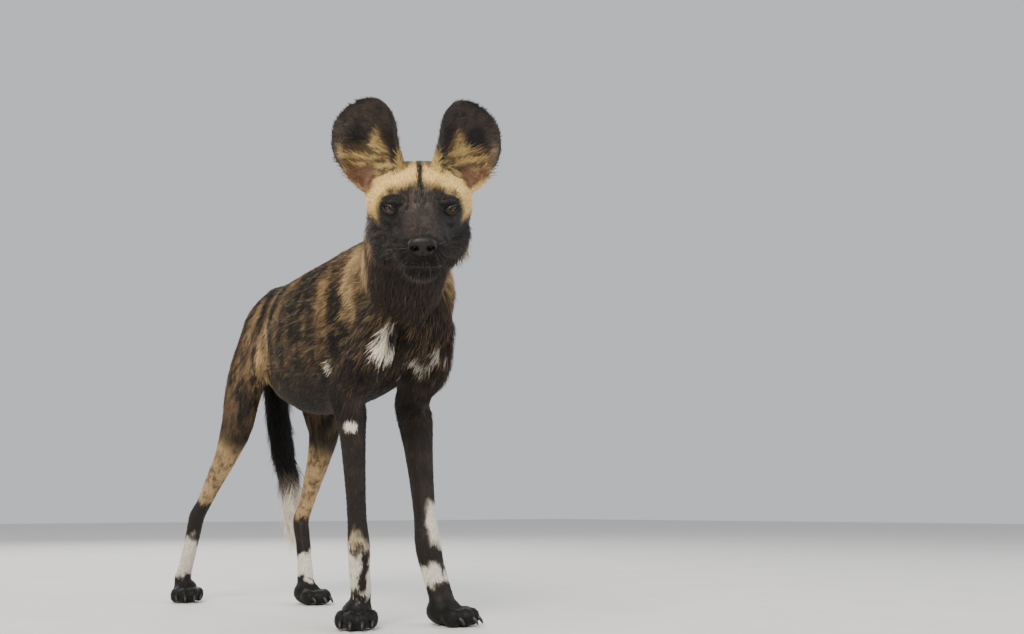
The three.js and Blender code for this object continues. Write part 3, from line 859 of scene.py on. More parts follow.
def skeleton() -> list[Bone]:
    """All stretches of the body, each with a patch of the unit square that no other uses."""
    bones = [
        Bone("trunk", (0, -235, 505), (0, 265, 530), 92, Zone.TRUNK, (0, 0, 0.42, 0.44), 0.38),
        Bone("neck", in_head((0, 96, -30)), (0, -235, 545), 64, Zone.NECK, (0.44, 0, 0.70, 0.30), 0.55),
        Bone("head", in_head((0, -105, -18)), in_head((0, 80, -10)), 50, Zone.HEAD, (0.72, 0, 1, 0.30)),
    ]
    for k, side in enumerate(Side):
        fore, hind = FORELEGS[side], HINDLEGS[side]
        root = np.array(EAR_ROOT[side])
        tip = root + EAR_LENGTH * (ear_frame(side) @ (0, 0, 1))
        s = 0.14 * k
        t = 0.10 * k
        bones += [
            Bone(f"ear_{side.word}", in_head(root + (0, 0, 8)), in_head(tip), 27, Zone.EAR,
                 (0.44 + s, 0.32, 0.57 + s, 0.45)),
            Bone(f"upper_foreleg_{side.word}", fore.top, fore.bend, 40, Zone.UPPER_LEG,
                 (s, 0.47, 0.12 + s, 0.72)),
            Bone(f"forearm_{side.word}", fore.bend, fore.ankle, 21, Zone.LOWER_LEG,
                 (0.28 + t, 0.47, 0.36 + t, 0.72)),
            Bone(f"fore_pastern_{side.word}", fore.ankle, fore.pastern, 19, Zone.LOWER_LEG,
                 (0.48, 0.47 + 0.13 * k, 0.56, 0.58 + 0.13 * k)),
            paw_bone(f"forepaw_{side.word}", fore.paw, 30, (0.44 + t, 0.74, 0.52 + t, 0.86)),
            Bone(f"thigh_{side.word}", hind.top, hind.bend, 52, Zone.UPPER_LEG,
                 (0.58 + 0.2 * k, 0.47, 0.76 + 0.2 * k, 0.72)),
            Bone(f"shank_{side.word}", hind.bend, hind.ankle, 25, Zone.LOWER_LEG,
                 (0.12 * k, 0.74, 0.10 + 0.12 * k, 1)),
            Bone(f"hind_pastern_{side.word}", hind.ankle, hind.pastern, 15, Zone.LOWER_LEG,
                 (0.24 + t, 0.74, 0.32 + t, 1)),
            paw_bone(f"hindpaw_{side.word}", hind.paw, 29, (0.44 + t, 0.88, 0.52 + t, 1)),
        ]
    for k, (first, last) in enumerate(((0, 2), (2, 4), (4, 7))):
        bones.append(Bone(f"tail_{k}", TAIL_PATH[first], TAIL_PATH[last], 20 - 4 * k, Zone.TAIL,
                          (0.66 + 0.11 * k, 0.74, 0.75 + 0.11 * k, 1)))
    return bones


@dataclass
class BodyMap:
    """For points on the skin: their nearest bone, zone, lie of the coat and place on the unwrap."""

    points: Array
    normals: Array
    bones: list[Bone] = field(default_factory=skeleton)

    def __post_init__(self) -> None:
        """Work out the distance to every bone in units of its radius, and the blend of their directions."""
        gaps, shares = [], []
        for bone in self.bones:
            start, end = bone.ends()
            axis = end - start
            share = np.clip((self.points - start) @ axis / (axis @ axis), 0, 1)
            gaps.append(reach_of(self.points - start - share[:, None] * axis) / bone.radius)
            shares.append(share)
        self.gaps, self.shares = np.array(gaps), np.array(shares)
        self.nearest = self.gaps.argmin(0)
        self.weights = (self.gaps + 0.05) ** -6.0
        self.weights /= self.weights.sum(0)
        zones = np.array([bone.zone.value for bone in self.bones])
        self.zone = zones[self.nearest]
        self.zone_weight = {z: self.weights[zones == z.value].sum(0) for z in Zone}
        self.local = to_head(self.points)
        self.ear_inside = self.inside_of_ears()

    def in_ear(self, side: Side) -> tuple[Array, Array]:
        """Places in one ear's own frame, with its root at 0 and Z up it, and which are on its side."""
        place = (self.local - np.array(EAR_ROOT[side])) @ ear_frame(side)
        return place, np.sign(self.local[:, 0]) == side.value

    def inside_of_ears(self) -> Array:
        """True where a point is on the hollow side of an ear."""
        inside = np.zeros(len(self.points), bool)
        for side in Side:
            place, mine = self.in_ear(side)
            facing = self.normals @ HEAD_TURN @ ear_frame(side)
            bowl = np.stack([place[:, 0] * 0.9, place[:, 1] + 34, 0 * place[:, 0]], -1)
            hollow = (facing * bowl).sum(1) < 0
            inside |= hollow & mine & self.of_zone(Zone.EAR) & (place[:, 2] > 6)
        return inside

    def from_eye(self, side: Side) -> tuple[Array, Array]:
        """Each point's offset from an eyeball's middle, in the head's frame, and its length."""
        offset = self.local - eye_centre(side)
        return offset, reach_of(offset)

    def of_zone(self, *zones: Zone) -> Array:
        """True where a point's nearest bone belongs to one of these zones."""
        return np.isin(self.zone, [zone.value for zone in zones])

    def ear_place(self) -> tuple[Array, Array]:
        """How far up its ear each point is, 0 to 1, and how far across, from -1 inside to 1 outside."""
        up, across = np.zeros(len(self.points)), np.zeros(len(self.points))
        for side in Side:
            place, mine = self.in_ear(side)
            up = np.where(mine, place[:, 2] / EAR_LENGTH, up)
            across = np.where(mine, side.value * place[:, 0] / EAR_OUTER_WIDTH, across)
        return up, across

    def lie(self, whorl: Triple = (0.0, -125.0, -4.0)) -> Array:
        """The way the coat points: along the bones, sagging down the flanks, and flat on the skin.

        On the face it runs away from a whorl at the nose. Inside the ears it runs up and out from the
        inner rim.
        """
        flow = np.zeros_like(self.points)
        for bone, weight in zip(self.bones, self.weights):
            start, end = bone.ends()
            flow += weight[:, None] * (unit(end - start) - (0, 0, bone.sag))
        away = unit(self.local - np.array(whorl))
        away[:, 2] -= 0.9 * ease(5, -45, self.local[:, 2]) + 0.1
        for side in Side:
            offset, gap = self.from_eye(side)
            near = ease(27, 17, gap)[:, None]
            away = away * (1 - near) + unit(offset) * near
        face = self.zone_weight[Zone.HEAD][:, None]
        flow = flow * (1 - face) + face * (unit(away) @ HEAD_TURN.T)
        outward_way = np.where(self.local[:, :1] > 0, 1.0, -1.0) * HEAD_TURN[:, 0]
        inner = self.ear_inside[:, None]
        flow = np.where(inner, 0.75 * outward_way + 0.45 * unit(flow), flow)
        flow -= (flow * self.normals).sum(1, keepdims=True) * self.normals
        return unit(flow)

    def unwrap(self) -> Array:
        """Place on the unit square: across a bone's patch by the angle round it, up by the way along."""
        place = np.zeros((len(self.points), 2))
        for k, bone in enumerate(self.bones):
            mine = self.nearest == k
            if not mine.any():
                continue
            start, end = bone.ends()
            axis = unit(end - start)
            side = unit(np.cross(axis, (0.0, 0.3, 1.0) if abs(axis[2]) < 0.8 else (0.0, 1.0, 0.1)))
            over = np.cross(axis, side)
            offset = self.points[mine] - start
            around = np.arctan2(offset @ side, offset @ over) / (2 * math.pi) + 0.5
            length = np.linalg.norm(end - start)
            along = np.clip((offset @ axis / length + 0.35) / 1.7, 0, 1)
            left, low, right, high = bone.patch
            place[mine] = np.stack([left + around * (right - left), low + along * (high - low)], -1)
        return place


# Markings

@dataclass(frozen=True)
class Patch:
    """A ragged patch of colour: where it is, its half sizes and its colour."""

    centre: Triple
    reach: Triple
    colour: str
    ragged: float = 0.45
    strength: float = 1.0


BLACK = "#0c0908"
DARK = "#211a15"
BROWN = "#43342a"
TAN = "#cdad7b"
GOLD = "#977a52"
PALE_TAN = "#f2cd7e"
CREAM = "#d3bf9b"
FACE_BROWN = "#4b3d35"
LOBE_BROWN = "#6e4c36"
WHITE = "#f2e9d8"
GREY = "#6f655b"

# The white spot high on the right foreleg, in millimetres
ARM_SPOT = (-90, -240, 309)

BODY_PATCHES = tuple(Patch(*row) for row in (
    ((-72, -200, 570), (45, 22, 74), TAN, 0.6, 0.85),
    ((-66, -212, 480), (34, 16, 50), TAN, 0.6, 0.6),
    ((-85, -160, 540), (45, 17, 120), BLACK, 0.25),
    ((-88, -128, 545), (40, 15, 60), GOLD, 0.4),
    ((-88, -132, 490), (40, 12, 36), GOLD, 0.7, 0.5),
    ((-80, -60, 580), (60, 34, 70), BLACK, 0.3),
    ((-85, 14, 585), (50, 22, 30), GOLD, 0.5, 0.6),
    ((-90, 34, 520), (40, 15, 50), GOLD, 0.6, 0.45),
    ((-70, 60, 590), (50, 14, 60), BLACK, 0.3),
    ((-85, 92, 555), (45, 15, 60), GOLD, 0.45),
    ((-85, 100, 490), (45, 15, 50), TAN, 0.5, 0.9),
    ((-75, 140, 590), (50, 16, 50), BLACK, 0.3),
    ((-75, 170, 555), (50, 14, 55), GOLD, 0.45),
    ((-85, 128, 455), (40, 15, 70), TAN, 0.6, 0.8),
    ((-70, 230, 500), (50, 18, 60), BLACK, 0.4),
    ((80, -190, 560), (45, 24, 80), GOLD, 0.5),
    ((88, -90, 530), (45, 26, 60), TAN, 0.6, 0.9),
    ((92, -20, 470), (40, 30, 40), GOLD, 0.6, 0.8),
    ((90, 40, 560), (45, 20, 50), TAN, 0.5, 0.9),
    ((88, 110, 480), (45, 20, 60), GOLD, 0.5, 0.9),
    ((85, 170, 440), (45, 24, 50), TAN, 0.6, 0.9),
    ((-72, -308, 440), (13, 24, 24), WHITE, 0.7),
    ((-55, -306, 424), (24, 24, 16), WHITE, 0.7),
    ((44, -264, 440), (14, 26, 18), WHITE, 0.8, 0.7),
    ((26, -262, 416), (17, 26, 14), WHITE, 0.8, 0.8),
    ((16, -244, 396), (11, 24, 12), WHITE, 0.7, 0.75),
    ((-72, -126, 420), (14, 7, 18), WHITE, 0.6, 0.8),
    (ARM_SPOT, (13, 14, 9), WHITE, 0.5, 0.95),
))


@dataclass
class Markings:
    """The coat's colours, painted layer over layer at each point, in linear light."""

    body: BodyMap

    def __post_init__(self) -> None:
        """Take the noises that give every edge its raggedness, and start from dark brown."""
        p = self.body.points
        self.wobble = layered_noise(p, 16, 3)
        self.fine = layered_noise(p, 5, 9, 2)
        self.strands = layered_noise(p, (6, 5, 18), 61, 2)
        self.colour = np.tile(linear(DARK), (len(p), 1))

    def paint(self, mask: Array, hex_colour: str) -> None:
        """Lay a colour over the mask's share of each point."""
        self.colour = painted(self.colour, mask, hex_colour)

    def trunk(self) -> None:
        """Black and brown clouds, fine brindle, and patches whose tan and gold break into strands."""
        p, weight, fine, strands = self.body.points, self.body.zone_weight, self.fine, self.strands
        self.paint(ease(0.45, 0.7, layered_noise(p, 34, 21)), BLACK)
        self.paint(0.6 * ease(0.5, 0.75, layered_noise(p, 22, 31)), BROWN)
        body_mask = np.clip(weight[Zone.TRUNK] + weight[Zone.UPPER_LEG], 0, 1)
        streaks = layered_noise(p, (26, 13, 34), 41, 3)
        brindle = ease(0.50, 0.66, streaks) * ease(-190, -120, p[:, 1])
        brindle = brindle * ease(395, 450, p[:, 2])
        self.paint(0.34 * brindle * ease(0.35, 0.6, strands) * body_mask, GOLD)
        for patch in BODY_PATCHES:
            offset = (p - np.array(patch.centre)) / np.array(patch.reach)
            raggedness = patch.ragged * (self.wobble + 0.9 * strands - 0.95) * 1.9
            closeness = 1 - np.sqrt((offset ** 2).sum(1)) + raggedness
            edge = ease(-0.08, 0.16, closeness)
            if patch.colour in (TAN, GOLD):
                edge = ease(-0.25, 0.45, closeness) * (0.30 + 0.70 * ease(0.36, 0.62, strands))
            self.paint(patch.strength * edge, patch.colour)
        self.paint(0.25 * ease(0.58, 0.72, fine) * body_mask * ease(380, 430, p[:, 2]), TAN)

    def legs(self) -> None:
        """Tan shanks, white socks and black paws, each band at its own height with a ragged edge."""
        p, wobble, fine = self.body.points, self.wobble, self.fine
        weight = self.body.zone_weight
        low_leg = np.clip(weight[Zone.LOWER_LEG] + weight[Zone.PAW], 0, 1)
        height = p[:, 2] + (wobble - 0.5) * 46 + (fine - 0.5) * 16
        fore, right = p[:, 1] < -60, p[:, 0] < 0

        def band(low: float, high: float, soft: float = 5.0) -> Array:
            """1 between two heights, with soft edges."""
            return ease(low - soft, low + soft, height) * ease(high + soft, high - soft, height)

        def on(mask: Array) -> Array:
            """The mask as numbers, on the lower legs only."""
            return mask.astype(float) * low_leg

        self.paint(on(fore) * 0.9, DARK)
        self.paint(on(fore) * 0.45 * ease(0.5, 0.7, wobble) * band(200, 420), BROWN)
        arm = np.exp(-(((p - ARM_SPOT) / (13, 14, 10)) ** 2).sum(1) * 1.2)
        self.paint(ease(0.3, 0.55, arm + (fine - 0.5) * 0.5), WHITE)
        wrist = on(fore & right) * band(124, 138)
        self.paint(wrist * (0.3 + 0.6 * ease(0.4, 0.6, fine)), CREAM)
        edges = ease(0.44, 0.60, fine * 0.6 + 0.028 * np.abs(p[:, 0] + 46))
        self.paint(on(fore & right) * band(50, 116) * edges, WHITE)
        outer = ease(56, 66, p[:, 0] + (wobble - 0.5) * 20)
        self.paint(on(fore & ~right) * band(128, 190, 8) * outer, WHITE)
        self.paint(on(fore & ~right) * band(68, 92, 4), WHITE)
        shank = ease(0.36, 0.60, wobble * 0.6 + fine * 0.5)
        streaked = ease(0.40, 0.60, layered_noise(p, (14, 9, 34), 83, 3))
        thigh = weight[Zone.UPPER_LEG] * ~fore * ease(300, 380, height) * ease(560, 470, height)
        self.paint(0.36 * thigh * streaked, GOLD)
        low = np.where(right, 0.0, -34.0)
        tan_band = ease(188, 214, height - low) * ease(450, 380, height)
        self.paint(on(~fore) * tan_band * (0.25 + 0.70 * shank), TAN)
        self.paint(on(~fore & right) * band(55, 130), WHITE)
        self.paint(on(~fore & ~right) * band(48, 92), WHITE)
        hock = on(~fore) * 0.85 * ease(118, 134, height)
        self.paint(hock * ease(204, 180, height - low), DARK)
        self.paint(np.clip(weight[Zone.PAW] + low_leg, 0, 1) * ease(52, 38, height), BLACK)

    def tail(self) -> None:
        """Tan and dark root, black middle, grey band and white tip."""
        wobble = self.wobble
        tail = ease(0.4, 0.7, self.body.zone_weight[Zone.TAIL])
        height = self.body.points[:, 2] + (wobble - 0.5) * 30
        self.paint(tail * ease(505, 470, height), BLACK)
        self.paint(tail * 0.7 * ease(490, 560, height) * ease(0.45, 0.6, wobble), TAN)
        self.paint(tail * ease(285, 262, height), GREY)
        self.paint(tail * ease(256, 238, height), WHITE)

    def neck(self) -> None:
        """Tan behind the cheek on the right, dark brown throat and nape."""
        p, wobble, fine = self.body.points, self.wobble, self.fine
        neck = np.clip(self.body.zone_weight[Zone.NECK] * 1.3, 0, 1)
        off_middle = p[:, 0] - 0.5 * (np.minimum(p[:, 1], -222) + 222)
        on_right = -off_middle - 28 * ease(-240, -330, p[:, 1])
        from_middle = np.where(off_middle < 0, on_right, off_middle - 20) + (wobble - 0.5) * 22
        beside = ease(34, 50, from_middle)
        above = ease(485, 540, p[:, 2] + (wobble - 0.5) * 50)
        kept = 1 - 0.85 * beside * above
        self.paint(neck * kept, DARK)
        self.paint(neck * kept * 0.5 * ease(0.4, 0.65, fine), BROWN)
        tan = neck * 0.9 * (0.35 + 0.65 * ease(0.33, 0.6, fine)) * beside * above
        self.paint(tan, TAN)
        nape = neck * ease(26, 12, np.abs(off_middle) + (wobble - 0.5) * 14)
        self.paint(0.8 * (nape * ease(585, 610, p[:, 2])), DARK)

    def head(self) -> None:
        """Pale crown with a dark stripe down its middle, black face and muzzle, grey flecks and chin; black
        on the lower cheeks deepened by painted shade, and grey streaks of painted sheen on the right cheek.
        """
        body, local, wobble, fine = self.body, self.body.local, self.wobble, self.fine
        x, y, z = np.abs(local[:, 0]), local[:, 1], local[:, 2]
        head = ease(0.35, 0.6, body.zone_weight[Zone.HEAD] + 0.6 * body.zone_weight[Zone.EAR])
        ragged = (wobble - 0.5) * 16 + (fine - 0.5) * 8
        self.paint(head, DARK)
        self.paint(head * 0.55 * ease(0.42, 0.66, fine), FACE_BROWN)
        crown = ease(14, 24, z + 0.30 * np.clip(y, 0, 70) + ragged * 0.5)
        brow_edge = ease(-20, -4, y - 0.05 * x + ragged * 0.6)
        self.paint(head * crown * brow_edge, PALE_TAN)
        temple = ease(44, 53, x + ragged * 0.3) * ease(-18, -4, y) * ease(-20, -6, z + ragged)
        self.paint(head * temple, PALE_TAN)
        stripe = ease(5.2, 2.6, np.abs(local[:, 0]) + (fine - 0.5) * 4 - 0.02 * y) * ease(-40, -25, y)
        self.paint(head * stripe * ease(5, 20, z), BLACK)
        muzzle = ease(-8, -34, y + ragged * 0.5)
        self.paint(head * muzzle * 0.9, BLACK)
        bridge = ease(30, 12, x) * ease(-112, -90, y) * ease(2, -14, y)
        bridge = bridge * ease(-24, -8, z)
        self.paint(head * bridge * (0.25 + 0.45 * ease(0.4, 0.62, fine)), FACE_BROWN)
        flecks = ease(16, 6, x) * ease(-52, -34, y) * ease(4, -12, y)
        flecks = flecks * ease(0.5, 0.64, fine)
        self.paint(head * 0.5 * flecks, GREY)
        low_stripe = ease(4.0, 1.5, np.abs(local[:, 0]) + (fine - 0.5) * 5) * ease(-58, -34, y)
        self.paint(head * 0.75 * low_stripe * ease(8, -4, y) * ease(5, 15, z), BLACK)
        # Black on the lower outer cheeks: dark fur, made blacker by painted shade on these downward-facing
        # sides
        cheek = ease(30, 44, x) * ease(0, -18, z + ragged * 0.4)
        self.paint(head * 0.75 * cheek, BLACK)
        # Painted sheen: grey streaks low on the right cheek, the side the key light comes from, stand in
        # for light glancing off the black fur
        streaks = ease(0.5, 0.64, layered_noise(local, (4, 15, 4), 88, 2))
        right_cheek_sheen = ease(30, 40, -local[:, 0]) * ease(-10, -22, z) * ease(-56, -40, z)
        self.paint(head * 0.45 * right_cheek_sheen * ease(-30, -10, y) * ease(60, 30, y) * streaks, GREY)
        for side in Side:
            self.paint(ease(23, 15, body.from_eye(side)[1] + ragged * 0.5), BLACK)
        chin = ease(-42, -50, z) * ease(-60, -80, y)
        self.paint(head * 0.75 * chin * ease(0.4, 0.6, fine), GREY)

    def ears(self) -> None:
        """Dark backs and rims; inside, a black cup, pale hairs low down and a brown outer lobe."""
        body, fine = self.body, self.fine
        ear = ease(0.25, 0.45, body.zone_weight[Zone.EAR])
        up, across = body.ear_place()
        hairs = layered_noise(body.local, (20, 6, 3.2), 71, 2)
        self.paint(ear, DARK)
        self.paint(ear * 0.6 * ease(0.40, 0.62, fine), BROWN)
        front_root = ease(0.26, 0.12, up) * ease(60, 50, body.local[:, 1]) * (1 - body.ear_inside)
        self.paint(ear * 0.9 * front_root, PALE_TAN)
        inside = ear * body.ear_inside
        self.paint(inside * 0.42 * ease(0.36, 0.6, hairs), FACE_BROWN)
        pale = ease(0.60, 0.44, up + 0.10 * across) * ease(-0.04, 0.06, up)
        pale = pale * ease(-0.52, -0.24, across) * ease(0.90, 0.6, across)
        self.paint(inside * pale * (0.08 + 0.46 * ease(0.38, 0.62, hairs)), PALE_TAN)
        outer_edge = ease(0.62, 0.8, across) * ease(0.7, 0.5, up) * ease(0.2, 0.3, up)
        self.paint(inside * outer_edge * (0.2 + 0.5 * ease(0.4, 0.6, hairs)), TAN)
        cup = np.exp(-((across - 0.24) / 0.30) ** 2 - ((up - 0.62) / 0.17) ** 2)
        self.paint(inside * ease(0.3, 0.7, cup + 0.3 * (hairs - 0.5)), BLACK)
        lobe = ease(0.34, 0.22, up) * ease(0.1, 0.35, across)
        self.paint(ear * 0.9 * lobe, LOBE_BROWN)
        crease = np.exp(-((across - 0.22) / 0.10) ** 2) * ease(0.34, 0.24, up)
        self.paint(inside * 0.3 * crease, BLACK)
        inner_root = ease(-0.3, -0.55, across) * ease(0.6, 0.45, up)
        edge = np.clip(ease(0.80, 0.92, np.abs(across)) * ease(0.1, 0.2, up) + inner_root, 0, 1)
        self.paint(ear * 0.8 * edge, DARK)
        sides = ease(0.88, 0.96, np.abs(across)) * ease(0.45, 0.6, up)
        rim = np.clip(sides + ease(0.88, 0.96, up), 0, 1)
        self.paint(ear * 0.8 * rim, BLACK)


def marking_colours(body: BodyMap) -> Array:
    """Colour of the coat at each point: the same layers paint the skin and every tuft.

    Args:
        body: The points to colour.

    Returns:
        (n, 3) colours in linear light.
    """
    marks = Markings(body)
    for layer in (marks.trunk, marks.legs, marks.tail, marks.neck, marks.head, marks.ears):
        layer()
    return marks.colour


# The coat

@dataclass(frozen=True)
class CoatPiece:
    """One mesh of the coat: which zones it covers, how dense it is and how its tufts are cut."""

    name: str
    zones: tuple[Zone, ...]
    tufts: int
    segments: int = 1
    side: Side | None = None
    rear: bool | None = None


COAT_PIECES = (
    CoatPiece("coat_of_head", (Zone.HEAD,), 22000),
    CoatPiece("coat_of_ears", (Zone.EAR,), 13000),
    CoatPiece("coat_of_neck", (Zone.NECK,), 13000, 2),
    CoatPiece("coat_of_right_flank", (Zone.TRUNK,), 21500, side=Side.RIGHT),
    CoatPiece("coat_of_left_flank", (Zone.TRUNK,), 16500, side=Side.LEFT),
    CoatPiece("coat_of_shoulders", (Zone.UPPER_LEG,), 11500, rear=False),
    CoatPiece("coat_of_thighs", (Zone.UPPER_LEG,), 13500, rear=True),
    CoatPiece("coat_of_forearms", (Zone.LOWER_LEG, Zone.PAW), 15500, rear=False),
    CoatPiece("coat_of_shanks", (Zone.LOWER_LEG, Zone.PAW), 15000, rear=True),
    CoatPiece("coat_of_tail", (Zone.TAIL,), 7000, 3),
)


@dataclass
class Coat:
    """All the tufts, rooted on the skin."""

    skin_points: Array
    skin_triangles: Array
    skin_normals: Array
    patch_size: float = 0.003
    shade_spread: float = 0.30
    cell: float = 6.0
    quick_share: int = 6
    round_eye: float = 24.0
    bare_nose: Triple = (0.0, -116.0, -9.0)
    bare_nose_reach: Triple = (19.7, 13.0, 13.8)
    bare_lips: tuple[float, float] = (-4.0, 4.2)
    root_depth: float = 0.5
    least_height: float = 0.3

    def chosen(self, piece: CoatPiece, body: BodyMap) -> Array:
        """Whether each point belongs to a piece of the coat."""
        mine = body.of_zone(*piece.zones)
        if piece.side is not None:
            mine &= (body.points[:, 0] >= 0) == (piece.side is Side.LEFT)
        if piece.rear is not None:
            mine &= (body.points[:, 1] > -40) == piece.rear
        return mine

    def thickness_of_planting(self, body: BodyMap) -> Array:
        """How densely tufts stand at each point against the piece's mean; 0 where the skin is bare."""
        local, paw = body.local, body.of_zone(Zone.PAW)
        dense = np.ones(len(body.points))
        dense *= 1 + 0.8 * ease(30, -40, local[:, 1]) * body.of_zone(Zone.HEAD)
        dense *= np.where(paw, 1.4, 1)
        dense *= 1 - paw * (body.points[:, 2] < 7)
        dense *= 1 - paw * ease(-0.35, -0.6, body.normals[:, 2])
        for side in Side:
            offset, gap = body.from_eye(side)
            near = gap < self.round_eye
            dense *= 1 - near * (almond_place(offset, side) < 1.16)
            dense *= 1 + 1.2 * near
        nose = ((local - np.array(self.bare_nose)) / np.array(self.bare_nose_reach)) ** 2
        dense *= ease(0.8, 1.1, nose.sum(1))
        gap = off_mouth(local)
        low, high = self.bare_lips
        on_mouth = (gap < high) & (gap > low) & (local[:, 1] < MOUTH_CORNER)
        return dense * ~on_mouth

    def plant(self, piece: CoatPiece, middles: BodyMap, rng: np.random.Generator) -> tuple[Array, Array]:
        """Pick root points evenly over a piece's share of the skin.

        Triangles are laid end to end along a curve that visits near ones together, each as long as its area
        times its density, and roots are taken from it at even steps with a little jitter. The curve is
        Morton order: a cell's number is made of the bits of its three coordinates in turn.

        Args:
            piece: Which piece of the coat.
            middles: The middles of the skin's triangles.
            rng: Random numbers.

        Returns:
            (n, 3) roots and (n, 3) normals.
        """
        corners = self.skin_points[self.skin_triangles]
        first, second = corners[:, 1] - corners[:, 0], corners[:, 2] - corners[:, 0]
        area = reach_of(np.cross(first, second)) / 2
        wanted = area * self.chosen(piece, middles) * self.thickness_of_planting(middles)
        cells = np.floor((corners.mean(1) + 1000) / self.cell).astype(np.int64)
        key = np.zeros(len(cells), np.int64)
        for bit in range(9):
            for axis in range(3):
                key |= ((cells[:, axis] >> bit) & 1) << (3 * bit + axis)
        order = np.argsort(key, kind="stable")
        total = np.cumsum(wanted[order])
        steps = (np.arange(piece.tufts) + rng.random(piece.tufts)) / piece.tufts * total[-1]
        picked = order[np.minimum(np.searchsorted(total, steps), len(order) - 1)]
        a, b = rng.random((2, piece.tufts, 1))
        flip = a + b > 1
        a, b = np.where(flip, 1 - a, a), np.where(flip, 1 - b, b)
        tri, shares = self.skin_triangles[picked], (1 - a - b, a, b)
        roots = sum(self.skin_points[tri[:, k]] * share for k, share in enumerate(shares))
        normals = sum(self.skin_normals[tri[:, k]] * share for k, share in enumerate(shares))
        return roots, unit(normals)

    def cut(self, body: BodyMap) -> tuple[Array, Array, Array, Array]:
        """Length, half width, lift and droop of the tuft at each root.

        Each zone has its own values, blended by nearness, and places with longer hair are added: the ruff
        under the cheeks, the nape, the chest, the backs of the thighs and the brush of the tail.

        Args:
            body: The roots.

        Returns:
            Four lists of one number for each root, the lengths and widths in millimetres.
        """
        p, local, weight = body.points, body.local, body.zone_weight
        table = {  # each zone's length, half width and lift as a slope
            Zone.HEAD: (8.6, 0.38, 0.30), Zone.NECK: (22.0, 0.60, 0.40), Zone.TRUNK: (17.0, 0.66, 0.28),
            Zone.UPPER_LEG: (14.0, 0.60, 0.26), Zone.LOWER_LEG: (7.5, 0.42, 0.24),
            Zone.PAW: (5.0, 0.36, 0.22), Zone.TAIL: (30.0, 0.65, 0.42), Zone.EAR: (6.0, 0.34, 0.34),
        }
        length, width, lift = (sum(weight[z] * row[k] for z, row in table.items()) for k in range(3))
        head = weight[Zone.HEAD]
        muzzle = head * ease(-25, -60, local[:, 1])
        length = length * (1 - 0.55 * muzzle)
        width = width * (1 - 0.25 * muzzle)
        for side in Side:
            near = head * ease(26, 15, body.from_eye(side)[1])
            length = length * (1 - 0.45 * near)
            width = width * (1 - 0.25 * near)
        length = length * (1 - 0.45 * muzzle * np.exp(-((off_mouth(local) - 5) / 6) ** 2))
        ruff = (head + weight[Zone.NECK]) * ease(-5, 25, local[:, 1])
        ruff = np.clip(ruff * ease(-8, -40, local[:, 2]), 0, 1)
        length = length + 14 * ruff * ease(140, 90, local[:, 1])
        lift = lift + 0.05 * ruff
        chest = ease(-215, -280, p[:, 1]) * ease(560, 470, p[:, 2])
        chest = chest * ease(360, 400, p[:, 2])
        length = length + 12 * chest
        lift = lift + 0.14 * chest
        nape = ease(600, 630, p[:, 2]) * ease(-120, -190, p[:, 1]) * weight[Zone.NECK]
        length = length + 6 * nape
        breech = weight[Zone.UPPER_LEG] * ease(190, 235, p[:, 1])
        length = length + 7 * breech
        brush = weight[Zone.TAIL] * ease(560, 440, p[:, 2])
        length = length + 28 * brush
        up, across = body.ear_place()
        inner_hair = 5.0 + 13.0 * ease(0.8, 0.3, up) * ease(0.0, 0.45, np.abs(across + 0.1)) \
            * ease(0.92, 0.5, across) * ease(-0.92, -0.5, across) * ease(0.08, 0.26, up)
        length = np.where(body.ear_inside, inner_hair, length)
        lift = np.where(body.ear_inside, 0.5, lift)
        rim = weight[Zone.EAR] * ease(0.78, 0.92, np.abs(across))
        length, lift = length * (1 - 0.5 * rim), lift * (1 - 0.75 * rim)
        for side in Side:
            near = ease(60, 40, reach_of(local - np.array(EAR_ROOT[side])))
            length = length + near * (np.minimum(length, 7.0) - length)
            lift = lift * (1 - 0.4 * near)
        return length, width, lift, 0.10 + 0.5 * (length > 20) * weight[Zone.TAIL]

    def tuft_mesh(self, piece: CoatPiece, body: BodyMap, rng: np.random.Generator) -> PlainMesh:
        """Tufts as three-sided blades that taper to a point.

        A tuft's middle line is root + length (s lie + (s lift - s^2 lift (0.5 + droop)) normal), for s from
        0 to 1. Round it stand rings of three points, two across and one on top, shrinking with s.

        Args:
            piece: Which piece of the coat.
            body: The roots.
            rng: Random numbers.

        Returns:
            The mesh, with its colours and its places on the unwrap.
        """
        count = len(body.points)
        length, width, lift, droop = self.cut(body)
        length = length * rng.uniform(0.72, 1.25, count)
        width = width * rng.uniform(0.8, 1.25, count)
        lift = lift * rng.uniform(0.4, 1.6, count)
        lie = body.lie()
        across = np.cross(lie, body.normals)
        sway = layered_noise(body.points, 14, 77, 2) - 0.5
        swing = sway * 0.9 + rng.normal(0, 0.22, count)
        lie = unit(lie + across * swing[:, None])
        across = np.cross(lie, body.normals)
        rings = piece.segments + 1
        steps = np.arange(rings + 1) / rings
        rise = lift[:, None] * steps - (lift * (0.5 + droop))[:, None] * steps ** 2
        middle = (body.points[:, None] + lie[:, None] * (length[:, None] * steps)[..., None]
                  + body.normals[:, None] * (length[:, None] * rise)[..., None])
        middle -= body.normals[:, None] * self.root_depth
        taper = np.array([1.0, 0.85, 0.6, 0.4])[:rings] if rings > 2 else np.array([1.0, 0.72])
        size = width[:, None] * taper
        base = middle[:, :rings]
        points = np.stack([base - across[:, None] * size[..., None],
                           base + body.normals[:, None] * (size * 0.7)[..., None],
                           base + across[:, None] * size[..., None]], 2)
        points = np.concatenate([points.reshape(count, rings * 3, 3), middle[:, rings:]], 1)
        each = rings * 3 + 1
        faces = []
        for ring in range(rings - 1):
            for k in range(3):
                a, b = ring * 3 + k, ring * 3 + (k + 1) % 3
                faces += [(a, b, b + 3), (a, b + 3, a + 3)]
        last = (rings - 1) * 3
        faces += [(last + k, last + (k + 1) % 3, each - 1) for k in range(3)]
